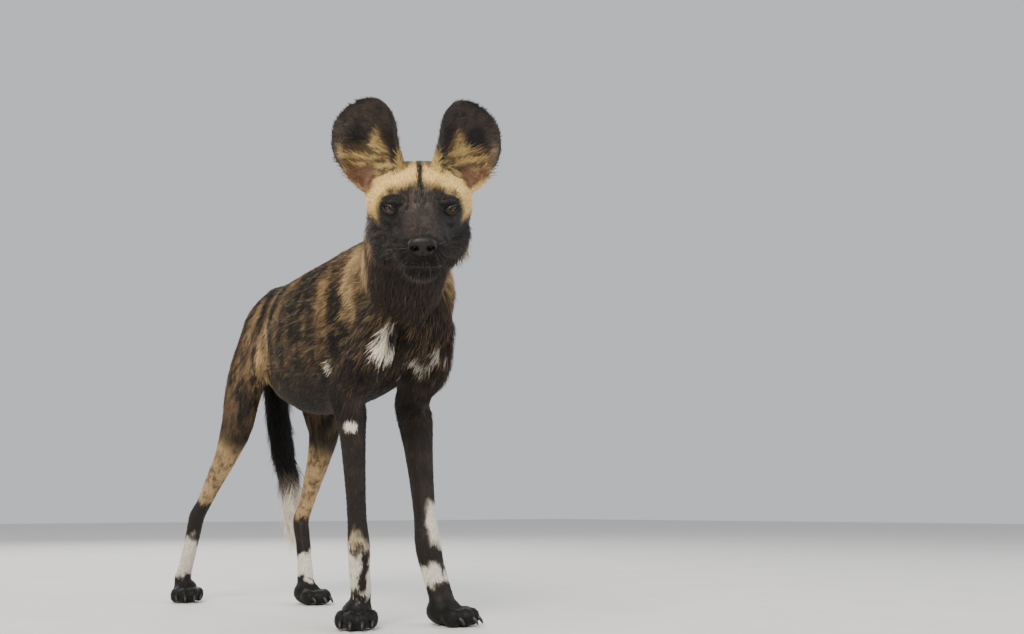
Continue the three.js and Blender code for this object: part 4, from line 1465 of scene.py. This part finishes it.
        faces = np.array(faces)[:, ::-1]
        triangles = (faces[None] + np.arange(count)[:, None, None] * each).reshape(-1, 3)
        colour = self.tuft_colours(body, rng)
        # Painted shade: each tuft is darker towards its root, down in the coat's shade, and lighter towards
        # its tip
        painted_root_shade = np.append(np.repeat(0.62 + 0.45 * steps[:rings], 3), 1.15)
        colours = np.clip(colour[:, None] * painted_root_shade[None, :, None], 0, 1).reshape(-1, 3)
        place = body.unwrap()
        spot_u = np.append(np.tile([0.0, 0.5, 1.0], rings), 0.5)
        spot_v = np.append(np.repeat(steps[:rings], 3), 1.0)
        spots = place[:, None] + np.stack([spot_u, spot_v], -1)[None] * self.patch_size
        points[..., 2] = np.maximum(points[..., 2], self.least_height)
        return PlainMesh(points.reshape(-1, 3), triangles, colours, spots.reshape(-1, 2))

    def tuft_colours(self, body: BodyMap, rng: np.random.Generator) -> Array:
        """The markings' colour at each root, varied by tuft, with odd tan hairs and grey face hairs."""
        count = len(body.points)
        shade = rng.uniform(1 - self.shade_spread, 1 + self.shade_spread, count)
        clump = 0.75 + 0.5 * layered_noise(body.points, 7, 55, 2)
        colour = marking_colours(body) * shade[:, None] * clump[:, None]
        stray = rng.random(count) < np.where(body.of_zone(Zone.TRUNK, Zone.UPPER_LEG), 0.03, 0.01)
        colour = np.where(stray[:, None], colour * 0.5 + 0.5 * np.array(linear(GOLD)) * 0.6, colour)
        grizzled = (rng.random(count) < 0.06) & body.of_zone(Zone.HEAD)
        return np.where(grizzled[:, None], colour * 0.5 + 0.45 * np.array(linear(GREY)), colour)

    def build(self) -> dict[str, PlainMesh]:
        """Every piece of the coat by name."""
        corners = self.skin_points[self.skin_triangles]
        middles = BodyMap(corners.mean(1), unit(self.skin_normals[self.skin_triangles].sum(1)))
        made = {}
        for number, piece in enumerate(COAT_PIECES):
            rng = np.random.default_rng(COAT_SEED + number)
            tufts = piece
            roots, normals = self.plant(tufts, middles, rng)
            made[piece.name] = self.tuft_mesh(tufts, BodyMap(roots, normals), rng)
        return made


# Meshes

@dataclass
class PlainMesh:
    """Points in millimetres in the dog's frame, triangles, and points' colours and unwrap places."""

    points: Array
    triangles: Array
    colours: Array | None = None
    places: Array | None = None


def make_object(name: str, shape: PlainMesh, material: bpy.types.Material,
                nodes: Sequence[str] = (), smooth: bool = True) -> bpy.types.Object:
    """Place a shape in the shared frame as a Blender object that belongs to the dog.

    Args:
        name: The object's name.
        shape: The mesh, in millimetres in the dog's frame.
        material: Its finish.
        nodes: The solids that it stands for.
        smooth: Whether faces are shaded smoothly.

    Returns:
        The object, riding on the root.
    """
    points = (shape.points - FLOOR_MIDDLE) * MILLIMETRE
    mesh = bpy.data.meshes.new(name)
    mesh.vertices.add(len(points))
    mesh.vertices.foreach_set("co", points.astype(np.float32).ravel())
    count = len(shape.triangles)
    mesh.loops.add(count * 3)
    mesh.loops.foreach_set("vertex_index", shape.triangles.astype(np.int32).ravel())
    mesh.polygons.add(count)
    mesh.polygons.foreach_set("loop_start", np.arange(0, count * 3, 3, dtype=np.int32))
    mesh.polygons.foreach_set("use_smooth", np.full(count, smooth))
    mesh.update(calc_edges=True)
    if shape.colours is not None:
        layer = mesh.color_attributes.new("Coat", "FLOAT_COLOR", "POINT")
        rgba = np.ones((len(points), 4), np.float32)
        rgba[:, :3] = shape.colours
        layer.data.foreach_set("color", rgba.ravel())
    if shape.places is not None:
        layer = mesh.uv_layers.new(name="OFBake")
        layer.data.foreach_set("uv", shape.places[shape.triangles.ravel()].astype(np.float32).ravel())
    mesh.validate()
    mesh.materials.append(material)
    made = bpy.data.objects.new(name, mesh)
    bpy.context.scene.collection.objects.link(made)
    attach(made, "root")
    if nodes:
        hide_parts(*nodes)
    LOG.info("%s: %d triangles", name, count)
    return made


# Finishes

def add_node(tree: bpy.types.NodeTree, kind: str, links: dict[str, bpy.types.NodeSocket] | None = None,
             inputs: dict[str, object] | None = None, **settings: object) -> bpy.types.Node:
    """Add one node with its settings, input values and links.

    Args:
        tree: The material's or world's node tree.
        kind: The node's type name.
        links: Output sockets by the name of the input that each goes into.
        inputs: Values by input name.
        **settings: Properties of the node.

    Returns:
        The node.
    """
    node = tree.nodes.new(kind)
    for name, value in settings.items():
        setattr(node, name, value)
    for name, value in (inputs or {}).items():
        node.inputs[name].default_value = value
    for name, socket in (links or {}).items():
        tree.links.new(socket, node.inputs[name])
    return node


def colour_of(hex_colour: str) -> tuple[float, float, float, float]:
    """A hex colour as linear red, green, blue and alpha."""
    return (*linear(hex_colour), 1.0)


@dataclass(frozen=True)
class Finish:
    """A surface finish: its shader's fixed values and how its nodes are laid."""

    name: str
    colour: str = "#808080"
    roughness: float = 0.5
    specular: float = 0.5
    coat: float = 0.0
    coat_roughness: float = 0.1
    sheen: float = 0.0
    sheen_roughness: float = 0.5
    sheen_tint: str = "#ffffff"
    transmission: float = 0.0
    ior: float = 1.5

    def start(self) -> tuple[bpy.types.Material, bpy.types.NodeTree, bpy.types.Node]:
        """The material with its principled shader set, ready for its colour and bump."""
        material = bpy.data.materials.new(self.name)
        material.use_nodes = True
        tree = material.node_tree
        shader = tree.nodes["Principled BSDF"]
        values = {
            "Base Color": colour_of(self.colour), "Roughness": self.roughness,
            "Specular IOR Level": self.specular, "Coat Weight": self.coat,
            "Coat Roughness": self.coat_roughness, "Sheen Weight": self.sheen,
            "Sheen Roughness": self.sheen_roughness, "Sheen Tint": colour_of(self.sheen_tint),
            "Transmission Weight": self.transmission, "IOR": self.ior,
        }
        for name, value in values.items():
            shader.inputs[name].default_value = value
        material.diffuse_color = colour_of(self.colour)
        return material, tree, shader

    def noise(self, tree: bpy.types.NodeTree, scale: float, detail: float = 4.0,
              stretch: Triple = (1, 1, 1)) -> bpy.types.NodeSocket:
        """Noise in Object coordinates, with scale in cells per metre."""
        place = add_node(tree, "ShaderNodeTexCoord").outputs["Object"]
        mapped = add_node(tree, "ShaderNodeMapping", {"Vector": place}, {"Scale": stretch})
        return add_node(tree, "ShaderNodeTexNoise", {"Vector": mapped.outputs["Vector"]},
                        {"Scale": scale, "Detail": detail, "Roughness": 0.6}).outputs["Fac"]

    def bump(self, tree: bpy.types.NodeTree, shader: bpy.types.Node, height: bpy.types.NodeSocket,
             depth: float, strength: float = 0.6) -> None:
        """Feed a height of so many metres into the shader's normal."""
        node = add_node(tree, "ShaderNodeBump", {"Height": height},
                        {"Distance": depth, "Strength": strength})
        tree.links.new(node.outputs["Normal"], shader.inputs["Normal"])


@dataclass(frozen=True)
class PaintedFinish(Finish):
    """A surface whose colour is kept point by point, and is broken up by fine noise."""

    grain: float = 900.0
    grain_detail: float = 2.0
    darkest: float = 0.72
    lightest: float = 1.28
    relief: float = 0.0

    def make(self) -> bpy.types.Material:
        """Colour from the Coat attribute times noise, darkest to lightest; relief from the same noise."""
        material, tree, shader = self.start()
        colour = add_node(tree, "ShaderNodeVertexColor", layer_name="Coat").outputs["Color"]
        fine = self.noise(tree, self.grain, self.grain_detail)
        shade = add_node(tree, "ShaderNodeMapRange", {"Value": fine}, {
            "From Min": 0.3, "From Max": 0.7, "To Min": self.darkest, "To Max": self.lightest})
        mixed = add_node(tree, "ShaderNodeVectorMath", {0: colour, 1: shade.outputs["Result"]},
                         operation="MULTIPLY")
        tree.links.new(mixed.outputs["Vector"], shader.inputs["Base Color"])
        if self.relief:
            self.bump(tree, shader, fine, self.relief, 0.5)
        return material


@dataclass(frozen=True)
class FurFinish(PaintedFinish):
    """Hair: dull, streaked along its length, with a faint sheen where it turns away."""

    name: str = "tapered_hair_tufts"
    roughness: float = 0.58
    specular: float = 0.26
    sheen: float = 0.04
    sheen_roughness: float = 0.45
    sheen_tint: str = "#d8cbb8"
    relief: float = 0.0006


@dataclass(frozen=True)
class EyeFinish(PaintedFinish):
    """The eyeball under its clear dome: dark pupil, amber iris with radial flecks, and brownish white."""

    name: str = "eyeball_with_amber_iris"
    roughness: float = 0.35
    specular: float = 0.3
    grain: float = 1600.0
    grain_detail: float = 3.0
    darkest: float = 0.75
    lightest: float = 1.25


@dataclass(frozen=True)
class GlassFinish(Finish):
    """The clear wet dome over the iris, which gives the eye its depth and its highlight."""

    name: str = "clear_wet_cornea"
    colour: str = "#ffffff"
    roughness: float = 0.02
    transmission: float = 1.0
    ior: float = 1.16

    def make(self) -> bpy.types.Material:
        """Plain clear shader: a real cornea has no grain, so only gloss and refraction show."""
        return self.start()[0]


@dataclass(frozen=True)
class GrainFinish(Finish):
    """Skin or horn: two close colours mixed by noise, and a bump of cells or long streaks."""

    other: str = "#000000"
    blotch: float = 90.0
    cells: float = 0.0
    cell_depth: float = 0.0006
    stretch: Triple = (1, 1, 1)
    rough_spread: float = 0.12

    def make(self) -> bpy.types.Material:
        """Colour and roughness from broad noise; height from rounded cells, or from fine noise."""
        material, tree, shader = self.start()
        broad = self.noise(tree, self.blotch, 5.0, self.stretch)
        ramp = add_node(tree, "ShaderNodeValToRGB", {"Fac": broad})
        ramp.color_ramp.elements[0].position, ramp.color_ramp.elements[1].position = 0.35, 0.68
        ramp.color_ramp.elements[0].color = colour_of(self.colour)
        ramp.color_ramp.elements[1].color = colour_of(self.other)
        tree.links.new(ramp.outputs["Color"], shader.inputs["Base Color"])
        rough = add_node(tree, "ShaderNodeMapRange", {"Value": broad}, {
            "To Min": self.roughness - self.rough_spread, "To Max": self.roughness + self.rough_spread})
        tree.links.new(rough.outputs["Result"], shader.inputs["Roughness"])
        if self.cells:
            place = add_node(tree, "ShaderNodeTexCoord").outputs["Object"]
            cell = add_node(tree, "ShaderNodeTexVoronoi", {"Vector": place}, {"Scale": self.cells},
                            feature="SMOOTH_F1").outputs["Distance"]
            turned = add_node(tree, "ShaderNodeMath", {0: cell}, {1: -1.0}, operation="MULTIPLY")
            height = turned.outputs["Value"]
        else:
            height = self.noise(tree, self.blotch * 6, 4.0, self.stretch)
        self.bump(tree, shader, height, self.cell_depth, 0.8)
        return material


# Hair of the coat: dull and streaked, so that tufts read one by one
FUR = FurFinish()
# The skin under it: the same hair, darker as painted shade, so that gaps between tufts read as depth
SHADED_UNDERFUR = FurFinish("short_underfur_on_skin", darkest=0.72 * 0.9, lightest=1.28 * 0.9)
# Eyeball: brown iris with flecks; nearly matt, because the dome over it carries the highlight
EYEBALL = EyeFinish()
# Clear dome: the wet highlight and the depth of the eye
CORNEA = GlassFinish()
# Damp pebbled rhinarium: near-black, with a broken gloss
NOSE_LEATHER = GrainFinish("damp_pebbled_nose_leather", "#070505", 0.48, 0.26, 0.1, 0.3, other="#161211",
                           blotch=120.0, cells=820.0, cell_depth=0.0007)
# Bare black skin of lips and lids: smooth, softly damp
BARE_SKIN = GrainFinish("damp_bare_black_skin", "#0c0908", 0.52, 0.34, 0.15, 0.3, other="#1b1412",
                        blotch=200.0, cell_depth=0.0003)
# Worn claw horn: streaked lengthwise, a dull shine
CLAW_HORN = GrainFinish("worn_claw_horn", "#120e0c", 0.42, 0.45, 0.1, 0.3, other="#2b211b", blotch=260.0,
                        cell_depth=0.0003, stretch=(1, 1, 0.3))
# Stiff whiskers: black, faintly glossy
WHISKER = GrainFinish("stiff_black_whisker", "#14100e", 0.45, 0.4, other="#241d18", blotch=300.0,
                      cell_depth=0.0001)


# The face's own pieces

# The eyeball's front half, in radians from the gaze, and its shaded brownish white
FRONT_ANGLE = 1.5
EYE_WHITE = "#1a100b"


def looked_at(side: Side) -> Array:
    """The way an eyeball looks, in the head's frame: between its opening's way and the viewer."""
    to_viewer = unit(to_head(CAMERA_PLACE[None])[0] - eye_centre(side))
    return unit(0.75 * to_viewer + 0.25 * eye_axis(side))


@dataclass
class Eye:
    """An eyeball with a dished iris and a pupil, under a clear dome."""

    side: Side
    radius: float = EYE_RADIUS
    iris_radius: float = 7.2
    pupil_radius: float = 3.7
    dish_depth: float = 1.5
    dome_height: float = 1.7

    def turned(self, off: Array, along: Array, count: int = 64) -> tuple[Array, Array]:
        """A closed surface of rings round the gaze, each so far off it and so far along it."""
        around = angles(count)
        grid = np.stack([off[:, None] * np.cos(around), off[:, None] * np.sin(around),
                         along[:, None] + 0 * around], -1)
        return closed_tube(in_head(grid @ frame_on(looked_at(self.side)) + eye_centre(self.side)))

    def ball(self) -> PlainMesh:
        """Sphere with a dished front: along the gaze a point stands at R cos(a), less the iris's dish.

        Colours go by the distance from the middle: pupil, amber iris darker at both edges and in the upper
        lid's shade, ring, brown white.
        """
        angle = np.concatenate([np.linspace(0.02, 0.72, 40), np.linspace(0.76, math.pi - 0.05, 22)])
        around = angles(64)
        off = self.radius * np.sin(angle)
        dish = ease(self.iris_radius + 0.5, self.iris_radius - 0.6, off) * (angle < FRONT_ANGLE)
        points, triangles = self.turned(off, self.radius * np.cos(angle) - self.dish_depth * dish)
        off_all = np.append(np.repeat(off, len(around)), [0, 0])
        front = np.append(np.repeat(angle < FRONT_ANGLE, len(around)), [True, False])
        spokes = np.tile(0.5 + 0.5 * np.sin(around * 23 + 2 * np.sin(around * 7)), len(angle))
        spokes = np.append(spokes, [0.5, 0.5])
        height = np.append((off[:, None] * np.sin(around)).ravel(), [0, 0])
        lit = 1 - 0.75 * ease(-1.5, 3.5, height)
        colour = np.array(linear("#6e4626"))[None] * ((0.7 + 0.5 * spokes) * lit)[:, None]
        colour = painted(colour, ease(self.iris_radius - 2.2, self.iris_radius - 0.2, off_all), "#29150a")
        colour = painted(colour, ease(self.iris_radius - 0.4, self.iris_radius + 0.4, off_all), EYE_WHITE)
        colour = painted(colour, ease(self.pupil_radius + 0.4, self.pupil_radius - 0.2, off_all), "#050303")
        return PlainMesh(points, triangles, np.where(front[:, None], colour, np.array(linear(EYE_WHITE))))

    def dome(self) -> PlainMesh:
        """Clear shell just over the ball, bulging over the iris by (1 - (off/iris)^2) of its height."""
        angle = np.linspace(0.02, math.pi - 0.05, 48)
        off = self.radius * np.sin(angle)
        bulge = self.dome_height * np.clip(1 - (off / (self.iris_radius + 1)) ** 2, 0, 1)
        grow = 1 + (0.25 + bulge * (angle < FRONT_ANGLE)) / self.radius
        return PlainMesh(*self.turned(off * grow, self.radius * np.cos(angle) * grow))

    def build(self) -> None:
        """Make the ball and its dome."""
        word = self.side.word
        make_object(f"eyeball_{word}", self.ball(), EYEBALL.make(), (f"eye_{word}",))
        make_object(f"cornea_{word}", self.dome(), CORNEA.make())


@dataclass
class Eyelids:
    """The rims round one eye: the inner edge is the almond opening, and the outer edge dives in."""

    side: Side
    thickness: float = 1.5
    margin: float = 3.6
    hood: float = 0.9

    def surface(self) -> PlainMesh:
        """Rings that run from inside the edge, over it and under the fur.

        The almond is across = w cos(a), up = h sin(a)|sin(a)|^0.15 + tilt across. A point stands at radius
        r(t) from the eye's middle, above the almond moved out by a margin that grows with t. So r rises
        quickly at the edge, stays level as the lid, dips in a crease and then sinks into the skin.
        """
        around = angles(96)
        across = LID_HALF_WIDTH * np.cos(around)
        up = LID_HALF_HEIGHT * np.sin(around) * np.abs(np.sin(around)) ** 0.15 + LID_TILT * across
        step = np.linspace(0, 1, 24)[:, None]
        way = unit(np.stack([across, up * 1.8], -1))
        move = -0.9 + (self.margin + 0.9) * step
        plane = np.stack([across, up], -1)[None] + way[None] * move[..., None]
        top = np.sin(np.clip(step / 0.26, 0, 1) * math.pi / 2)
        fall = ease(0.40, 1.0, step)
        upper = np.clip(np.sin(around), 0, 1)[None]
        crease = 0.5 * np.exp(-((step - 0.42) / 0.08) ** 2)
        rise = 0.30 + self.thickness * top - crease
        rise = rise + self.hood * upper * np.sin(step * math.pi) - 3.4 * fall
        radius = EYE_RADIUS + rise
        height = np.sqrt(np.maximum(radius ** 2 - (plane ** 2).sum(-1), 4.0))
        front = np.concatenate([plane, height[..., None]], -1)
        back = front[::-1] - (0, 0, 1.2)
        shell = np.concatenate([front, back]) * (float(self.side.value), 1.0, 1.0)
        triangles = wall_triangles(*shell.shape[:2], wrapped=True)
        points = in_head(shell.reshape(-1, 3) @ frame_on(eye_axis(self.side)) + eye_centre(self.side))
        return PlainMesh(*outward(points, triangles))

    def build(self) -> None:
        """Make the lids of this eye."""
        make_object(f"eyelids_{self.side.word}", self.surface(), BARE_SKIN.make())


@dataclass
class NosePad:
    """The bare nose: a rounded pad with two comma-shaped nostrils and a groove down its middle."""

    centre: Triple = NOSE_PLACE
    radii: Triple = NOSE_RADII
    nostril_depth: float = 8.5
    nostril_radius: float = 4.4

    def surface(self) -> PlainMesh:
        """An ellipsoid as rings about -Y, flattened in front, with the nostrils and groove pressed into it.

        A press is depth exp(-(distance / radius)^2), and goes straight back.
        """
        angle = np.linspace(0.02, math.pi - 0.02, 90)[:, None]
        around = angles(128)[None]
        x = np.sin(angle) * np.cos(around)
        z = np.sin(angle) * np.sin(around)
        y = -np.cos(angle) + 0 * around
        power = 2.5
        grow = (np.abs(x) ** power + np.abs(y) ** power + np.abs(z) ** power) ** (-1 / power)
        grid = np.stack([x * grow, y * grow, z * grow], -1) * np.array(self.radii)
        grid[..., 0] *= 1 - 0.22 * ease(0, -10, grid[..., 2])
        front = ease(2.0, -4.0, grid[..., 1])
        for s in (-1, 1):
            out, up = s * grid[..., 0] - 9.8, grid[..., 2] + 0.4
            hole = np.hypot((out + 0.5 * up) / 1.15, (up - 0.2 * out) / 0.85) / self.nostril_radius
            slit = np.hypot((out - 4.4) / 3.8, (up + 3.6 + 0.25 * out) / 2.2)
            grid[..., 1] += front * (self.nostril_depth * np.exp(-hole ** 3) + 3.6 * np.exp(-slit ** 3))
        groove = np.exp(-(grid[..., 0] / 0.8) ** 2) * ease(2, -5, grid[..., 2])
        grid[..., 1] += 1.2 * groove * front
        points = in_head(grid + np.array(self.centre))
        return PlainMesh(*closed_tube(points))

    def build(self) -> None:
        """Make the nose."""
        make_object("nose_pad", self.surface(), NOSE_LEATHER.make(), ("nose",))


@dataclass
class Lips:
    """The bare edges of the closed mouth, upper and lower, from corner round the front to corner."""

    skin_points: Array
    radius: float = 1.6

    def line(self, shift: float) -> Array:
        """The skin's outline in the mouth's plane, moved up by the shift.

        Skin points near the plane are sorted by their angle round the muzzle's middle, and their distance
        from it is averaged over a few neighbours.
        """
        local = to_head(self.skin_points)
        near = local[(np.abs(off_mouth(local) - shift) < 2.2) & (local[:, 1] < MOUTH_CORNER + 6)]
        ahead = near[:, 1] - MUZZLE_MIDDLE
        angle = np.arctan2(near[:, 0], -ahead)
        reach = np.hypot(near[:, 0], ahead)
        order = np.argsort(angle)
        wanted = np.linspace(-2.0, 2.0, 121)
        close = np.exp(-((wanted[:, None] - angle[order][None]) / 0.06) ** 2)
        smooth = (close * reach[order][None]).sum(1) / np.maximum(close.sum(1), 1e-9)
        y = MUZZLE_MIDDLE - smooth * np.cos(wanted)
        z = MOUTH_HEIGHT + MOUTH_SLOPE * (y - MOUTH_FRONT) + shift
        return np.stack([smooth * np.sin(wanted), y, z], -1)

    def tube(self, shift: float, size: float) -> tuple[Array, Array]:
        """A tube along the line, thin at both ends: its half size is size sin(pi t)^0.4."""
        path = self.line(shift)
        share = np.linspace(0.02, 0.98, len(path))
        half = size * np.sin(share * math.pi) ** 0.4
        tangent = unit(np.gradient(path, axis=0))
        across = unit(np.cross(tangent, (0.0, 0.0, 1.0)))
        over = np.cross(across, tangent)
        turns = angles(10)
        ring = across[:, None] * np.cos(turns)[None, :, None] + over[:, None] * np.sin(turns)[None, :, None]
        return closed_tube(in_head(path[:, None] + ring * half[:, None, None]))

    def build(self) -> None:
        """Make both lips as one piece."""
        shape = PlainMesh(*join([self.tube(1.9, self.radius * 0.85), self.tube(-2.2, self.radius * 1.15)]))
        make_object("lips", shape, BARE_SKIN.make())


@dataclass
class Whiskers:
    """Stiff hairs of the muzzle, brows and chin, each a thin bent cone rooted on the skin."""

    skin_points: Array
    skin_normals: Array
    thickness: float = 0.34

    def surface(self) -> PlainMesh:
        """Cones of three sides whose middle line is root + s L way - s^2 0.3 L down, for s from 0 to 1."""
        rng = np.random.default_rng(WHISKER_SEED)
        local = to_head(self.skin_points)
        x, y, z = np.abs(local[:, 0]), local[:, 1], local[:, 2]
        beside = (y > -104) & (y < -66) & (x > 14) & (x < 40) & (z < -12) & (z > MOUTH_HEIGHT + 3)
        chin = (y > -104) & (y < -70) & (x < 32) & (z < -44) & (z > -80)
        brow = (y > -30) & (y < -8) & (z > 24) & (z < 34) & (x > 24) & (x < 46)
        picked, lengths = [], []
        for mask, count, length in ((beside, 80, 33.0), (chin, 46, 15.0), (brow, 14, 20.0)):
            picked.append(rng.choice(np.flatnonzero(mask), count))
            lengths.append(length * rng.uniform(0.55, 1.2, count))
        picked, length = np.concatenate(picked), np.concatenate(lengths)
        root, normal = self.skin_points[picked], self.skin_normals[picked]
        back = HEAD_TURN @ np.array([0.0, 1.0, -0.25])
        way = unit(normal * 0.8 + back * 0.7 + rng.normal(0, 0.16, root.shape))
        steps = np.linspace(0, 1, 6)
        middle = root[:, None] + way[:, None] * (length[:, None] * steps)[..., None]
        middle[..., 2] -= 0.28 * length[:, None] * steps ** 2
        across = unit(np.cross(way, [0.3, 0.2, 1.0]))
        over = np.cross(way, across)
        size = self.thickness * (1 - 0.85 * steps)
        turns = np.arange(3) * 2 * math.pi / 3
        ring = (across[:, None, None] * np.cos(turns)[None, None, :, None]
                + over[:, None, None] * np.sin(turns)[None, None, :, None]) * size[None, :, None, None]
        return PlainMesh(*join([closed_tube(grid) for grid in middle[:, :, None] + ring]))

    def build(self) -> None:
        """Make all the whiskers as one piece."""
        make_object("whiskers", self.surface(), WHISKER.make())


@dataclass
class Claws:
    """Four blunt claws on each paw."""

    stretch: float = 4.6

    def stations(self, places: LegPlaces, toe: Triple) -> tuple[Station, ...]:
        """Sections of one claw, curving down from the front of its toe."""
        frame, k = turn("z", places.toes_turned), places.paw_scale
        start = np.array([toe[0] * k, toe[1] * k, 0.0])
        rows = ((-12 * k, 15, 3.0, 3.4), (-17 * k, 12.5, 2.6, 3.0), (-18 * k - 3, 8.5, 1.9, 2.1),
                (-18 * k - self.stretch, 4.5, 1.1, 1.2))
        return tuple(Station(places.paw + frame @ (start + (0, y, z)), half, tall, tall, 0.0)
                     for y, z, half, tall in rows)

    def build(self) -> None:
        """Make the claws of each paw as one piece."""
        horn = CLAW_HORN.make()
        for side in Side:
            for word, places in (("forepaw", FORELEGS[side]), ("hindpaw", HINDLEGS[side])):
                across = turn("z", places.toes_turned)[:, 0]
                pieces = [closed_tube(Loft(self.stations(places, toe), side=across, caps=(1, 1),
                                           along=14, around=16).grid()) for toe in TOES]
                names = [f"{word}_claw_{side.word}_{k}" for k in range(1, 5)]
                make_object(f"claws_of_{word}_{side.word}", PlainMesh(*join(pieces)), horn,
                            names)


# The stage

@dataclass
class Studio:
    """Pale floor, soft lights and the camera at the photograph's viewing angle."""

    floor_colour: str = "#d8d6d2"
    floor_half: float = 12.0
    key_watts: float = 260.0
    fill_watts: float = 60.0
    rim_watts: float = 90.0
    aimed_at: Triple = (0.0, 0.0, 0.4)

    def floor(self) -> None:
        """A wide pale floor that reads as plain studio paper."""
        mesh = bpy.data.meshes.new("studio_floor")
        h = self.floor_half
        mesh.from_pydata([(-h, -h, 0), (h, -h, 0), (h, h, 0), (-h, h, 0)], [], [(0, 1, 2, 3)])
        floor = bpy.data.objects.new("studio_floor", mesh)
        bpy.context.scene.collection.objects.link(floor)
        paper = GrainFinish("matt_studio_paper", self.floor_colour, 0.75, 0.2, other="#dedcd8", blotch=6.0,
                            cell_depth=0.0002, rough_spread=0.05)
        mesh.materials.append(paper.make())

    def light(self, name: str, place: Triple, size: float, watts: float, tint: str) -> None:
        """A square soft light aimed at the dog's middle."""
        lamp = bpy.data.lights.new(name, "AREA")
        lamp.shape, lamp.size, lamp.energy = "SQUARE", size, watts
        lamp.color = linear(tint)
        holder = bpy.data.objects.new(name, lamp)
        holder.location = place
        aim = unit(np.array(self.aimed_at) - np.array(place))
        holder.rotation_euler = (math.acos(-aim[2]), 0.0, math.atan2(-aim[0], aim[1]))
        bpy.context.scene.collection.objects.link(holder)

    def world(self) -> None:
        """Even pale light from all round."""
        world = bpy.data.worlds.new("studio_light")
        bpy.context.scene.world = world
        world.use_nodes = True
        back = world.node_tree.nodes["Background"]
        back.inputs["Color"].default_value = colour_of("#e6e9ee")
        back.inputs["Strength"].default_value = 0.8

    def camera(self) -> None:
        """The photograph's place, angle and lens."""
        data = bpy.data.cameras.new("camera")
        data.lens, data.sensor_width = CAMERA_LENS, SENSOR_WIDTH
        data.clip_start, data.clip_end = 0.05, 60.0
        camera = bpy.data.objects.new("camera", data)
        camera.location = (CAMERA_PLACE - FLOOR_MIDDLE) * MILLIMETRE
        camera.rotation_euler = (math.radians(90 + CAMERA_PITCH), 0.0, -math.radians(CAMERA_YAW))
        bpy.context.scene.collection.objects.link(camera)
        bpy.context.scene.camera = camera

    def build(self) -> None:
        """Floor, lights, world and camera."""
        self.floor()
        self.light("key_from_front_right", (-2.6, -2.2, 3.0), 2.2, self.key_watts, "#fff6ea")
        self.light("fill_from_front_left", (2.6, -2.4, 2.0), 2.6, self.fill_watts, "#eef3ff")
        self.light("rim_from_behind", (0.6, 3.0, 2.6), 2.0, self.rim_watts, "#ffffff")
        self.world()
        self.camera()


def main() -> None:
    """Build the dog piece by piece on the frame's nodes."""
    logging.basicConfig(level=logging.INFO, format="%(message)s")
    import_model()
    Studio().build()
    skin = BodySkin()
    points, triangles = skin.build()
    normals = skin.normals(points, triangles)
    # The skin takes the coat's colours, darkened by SKIN_SHADE as painted shade of the hair over it
    colours = marking_colours(BodyMap(points, normals)) * SKIN_SHADE
    shape = PlainMesh(points, triangles, colours)
    make_object("body_skin", shape, SHADED_UNDERFUR.make(), skin.nodes)
    fur = FUR.make()
    for name, tufts in Coat(points, triangles, normals).build().items():
        make_object(name, tufts, fur, smooth=False)
    for side in Side:
        Eye(side).build()
        Eyelids(side).build()
    NosePad().build()
    Lips(points).build()
    Whiskers(points, normals).build()
    Claws().build()


if __name__ == "__main__":
    main()
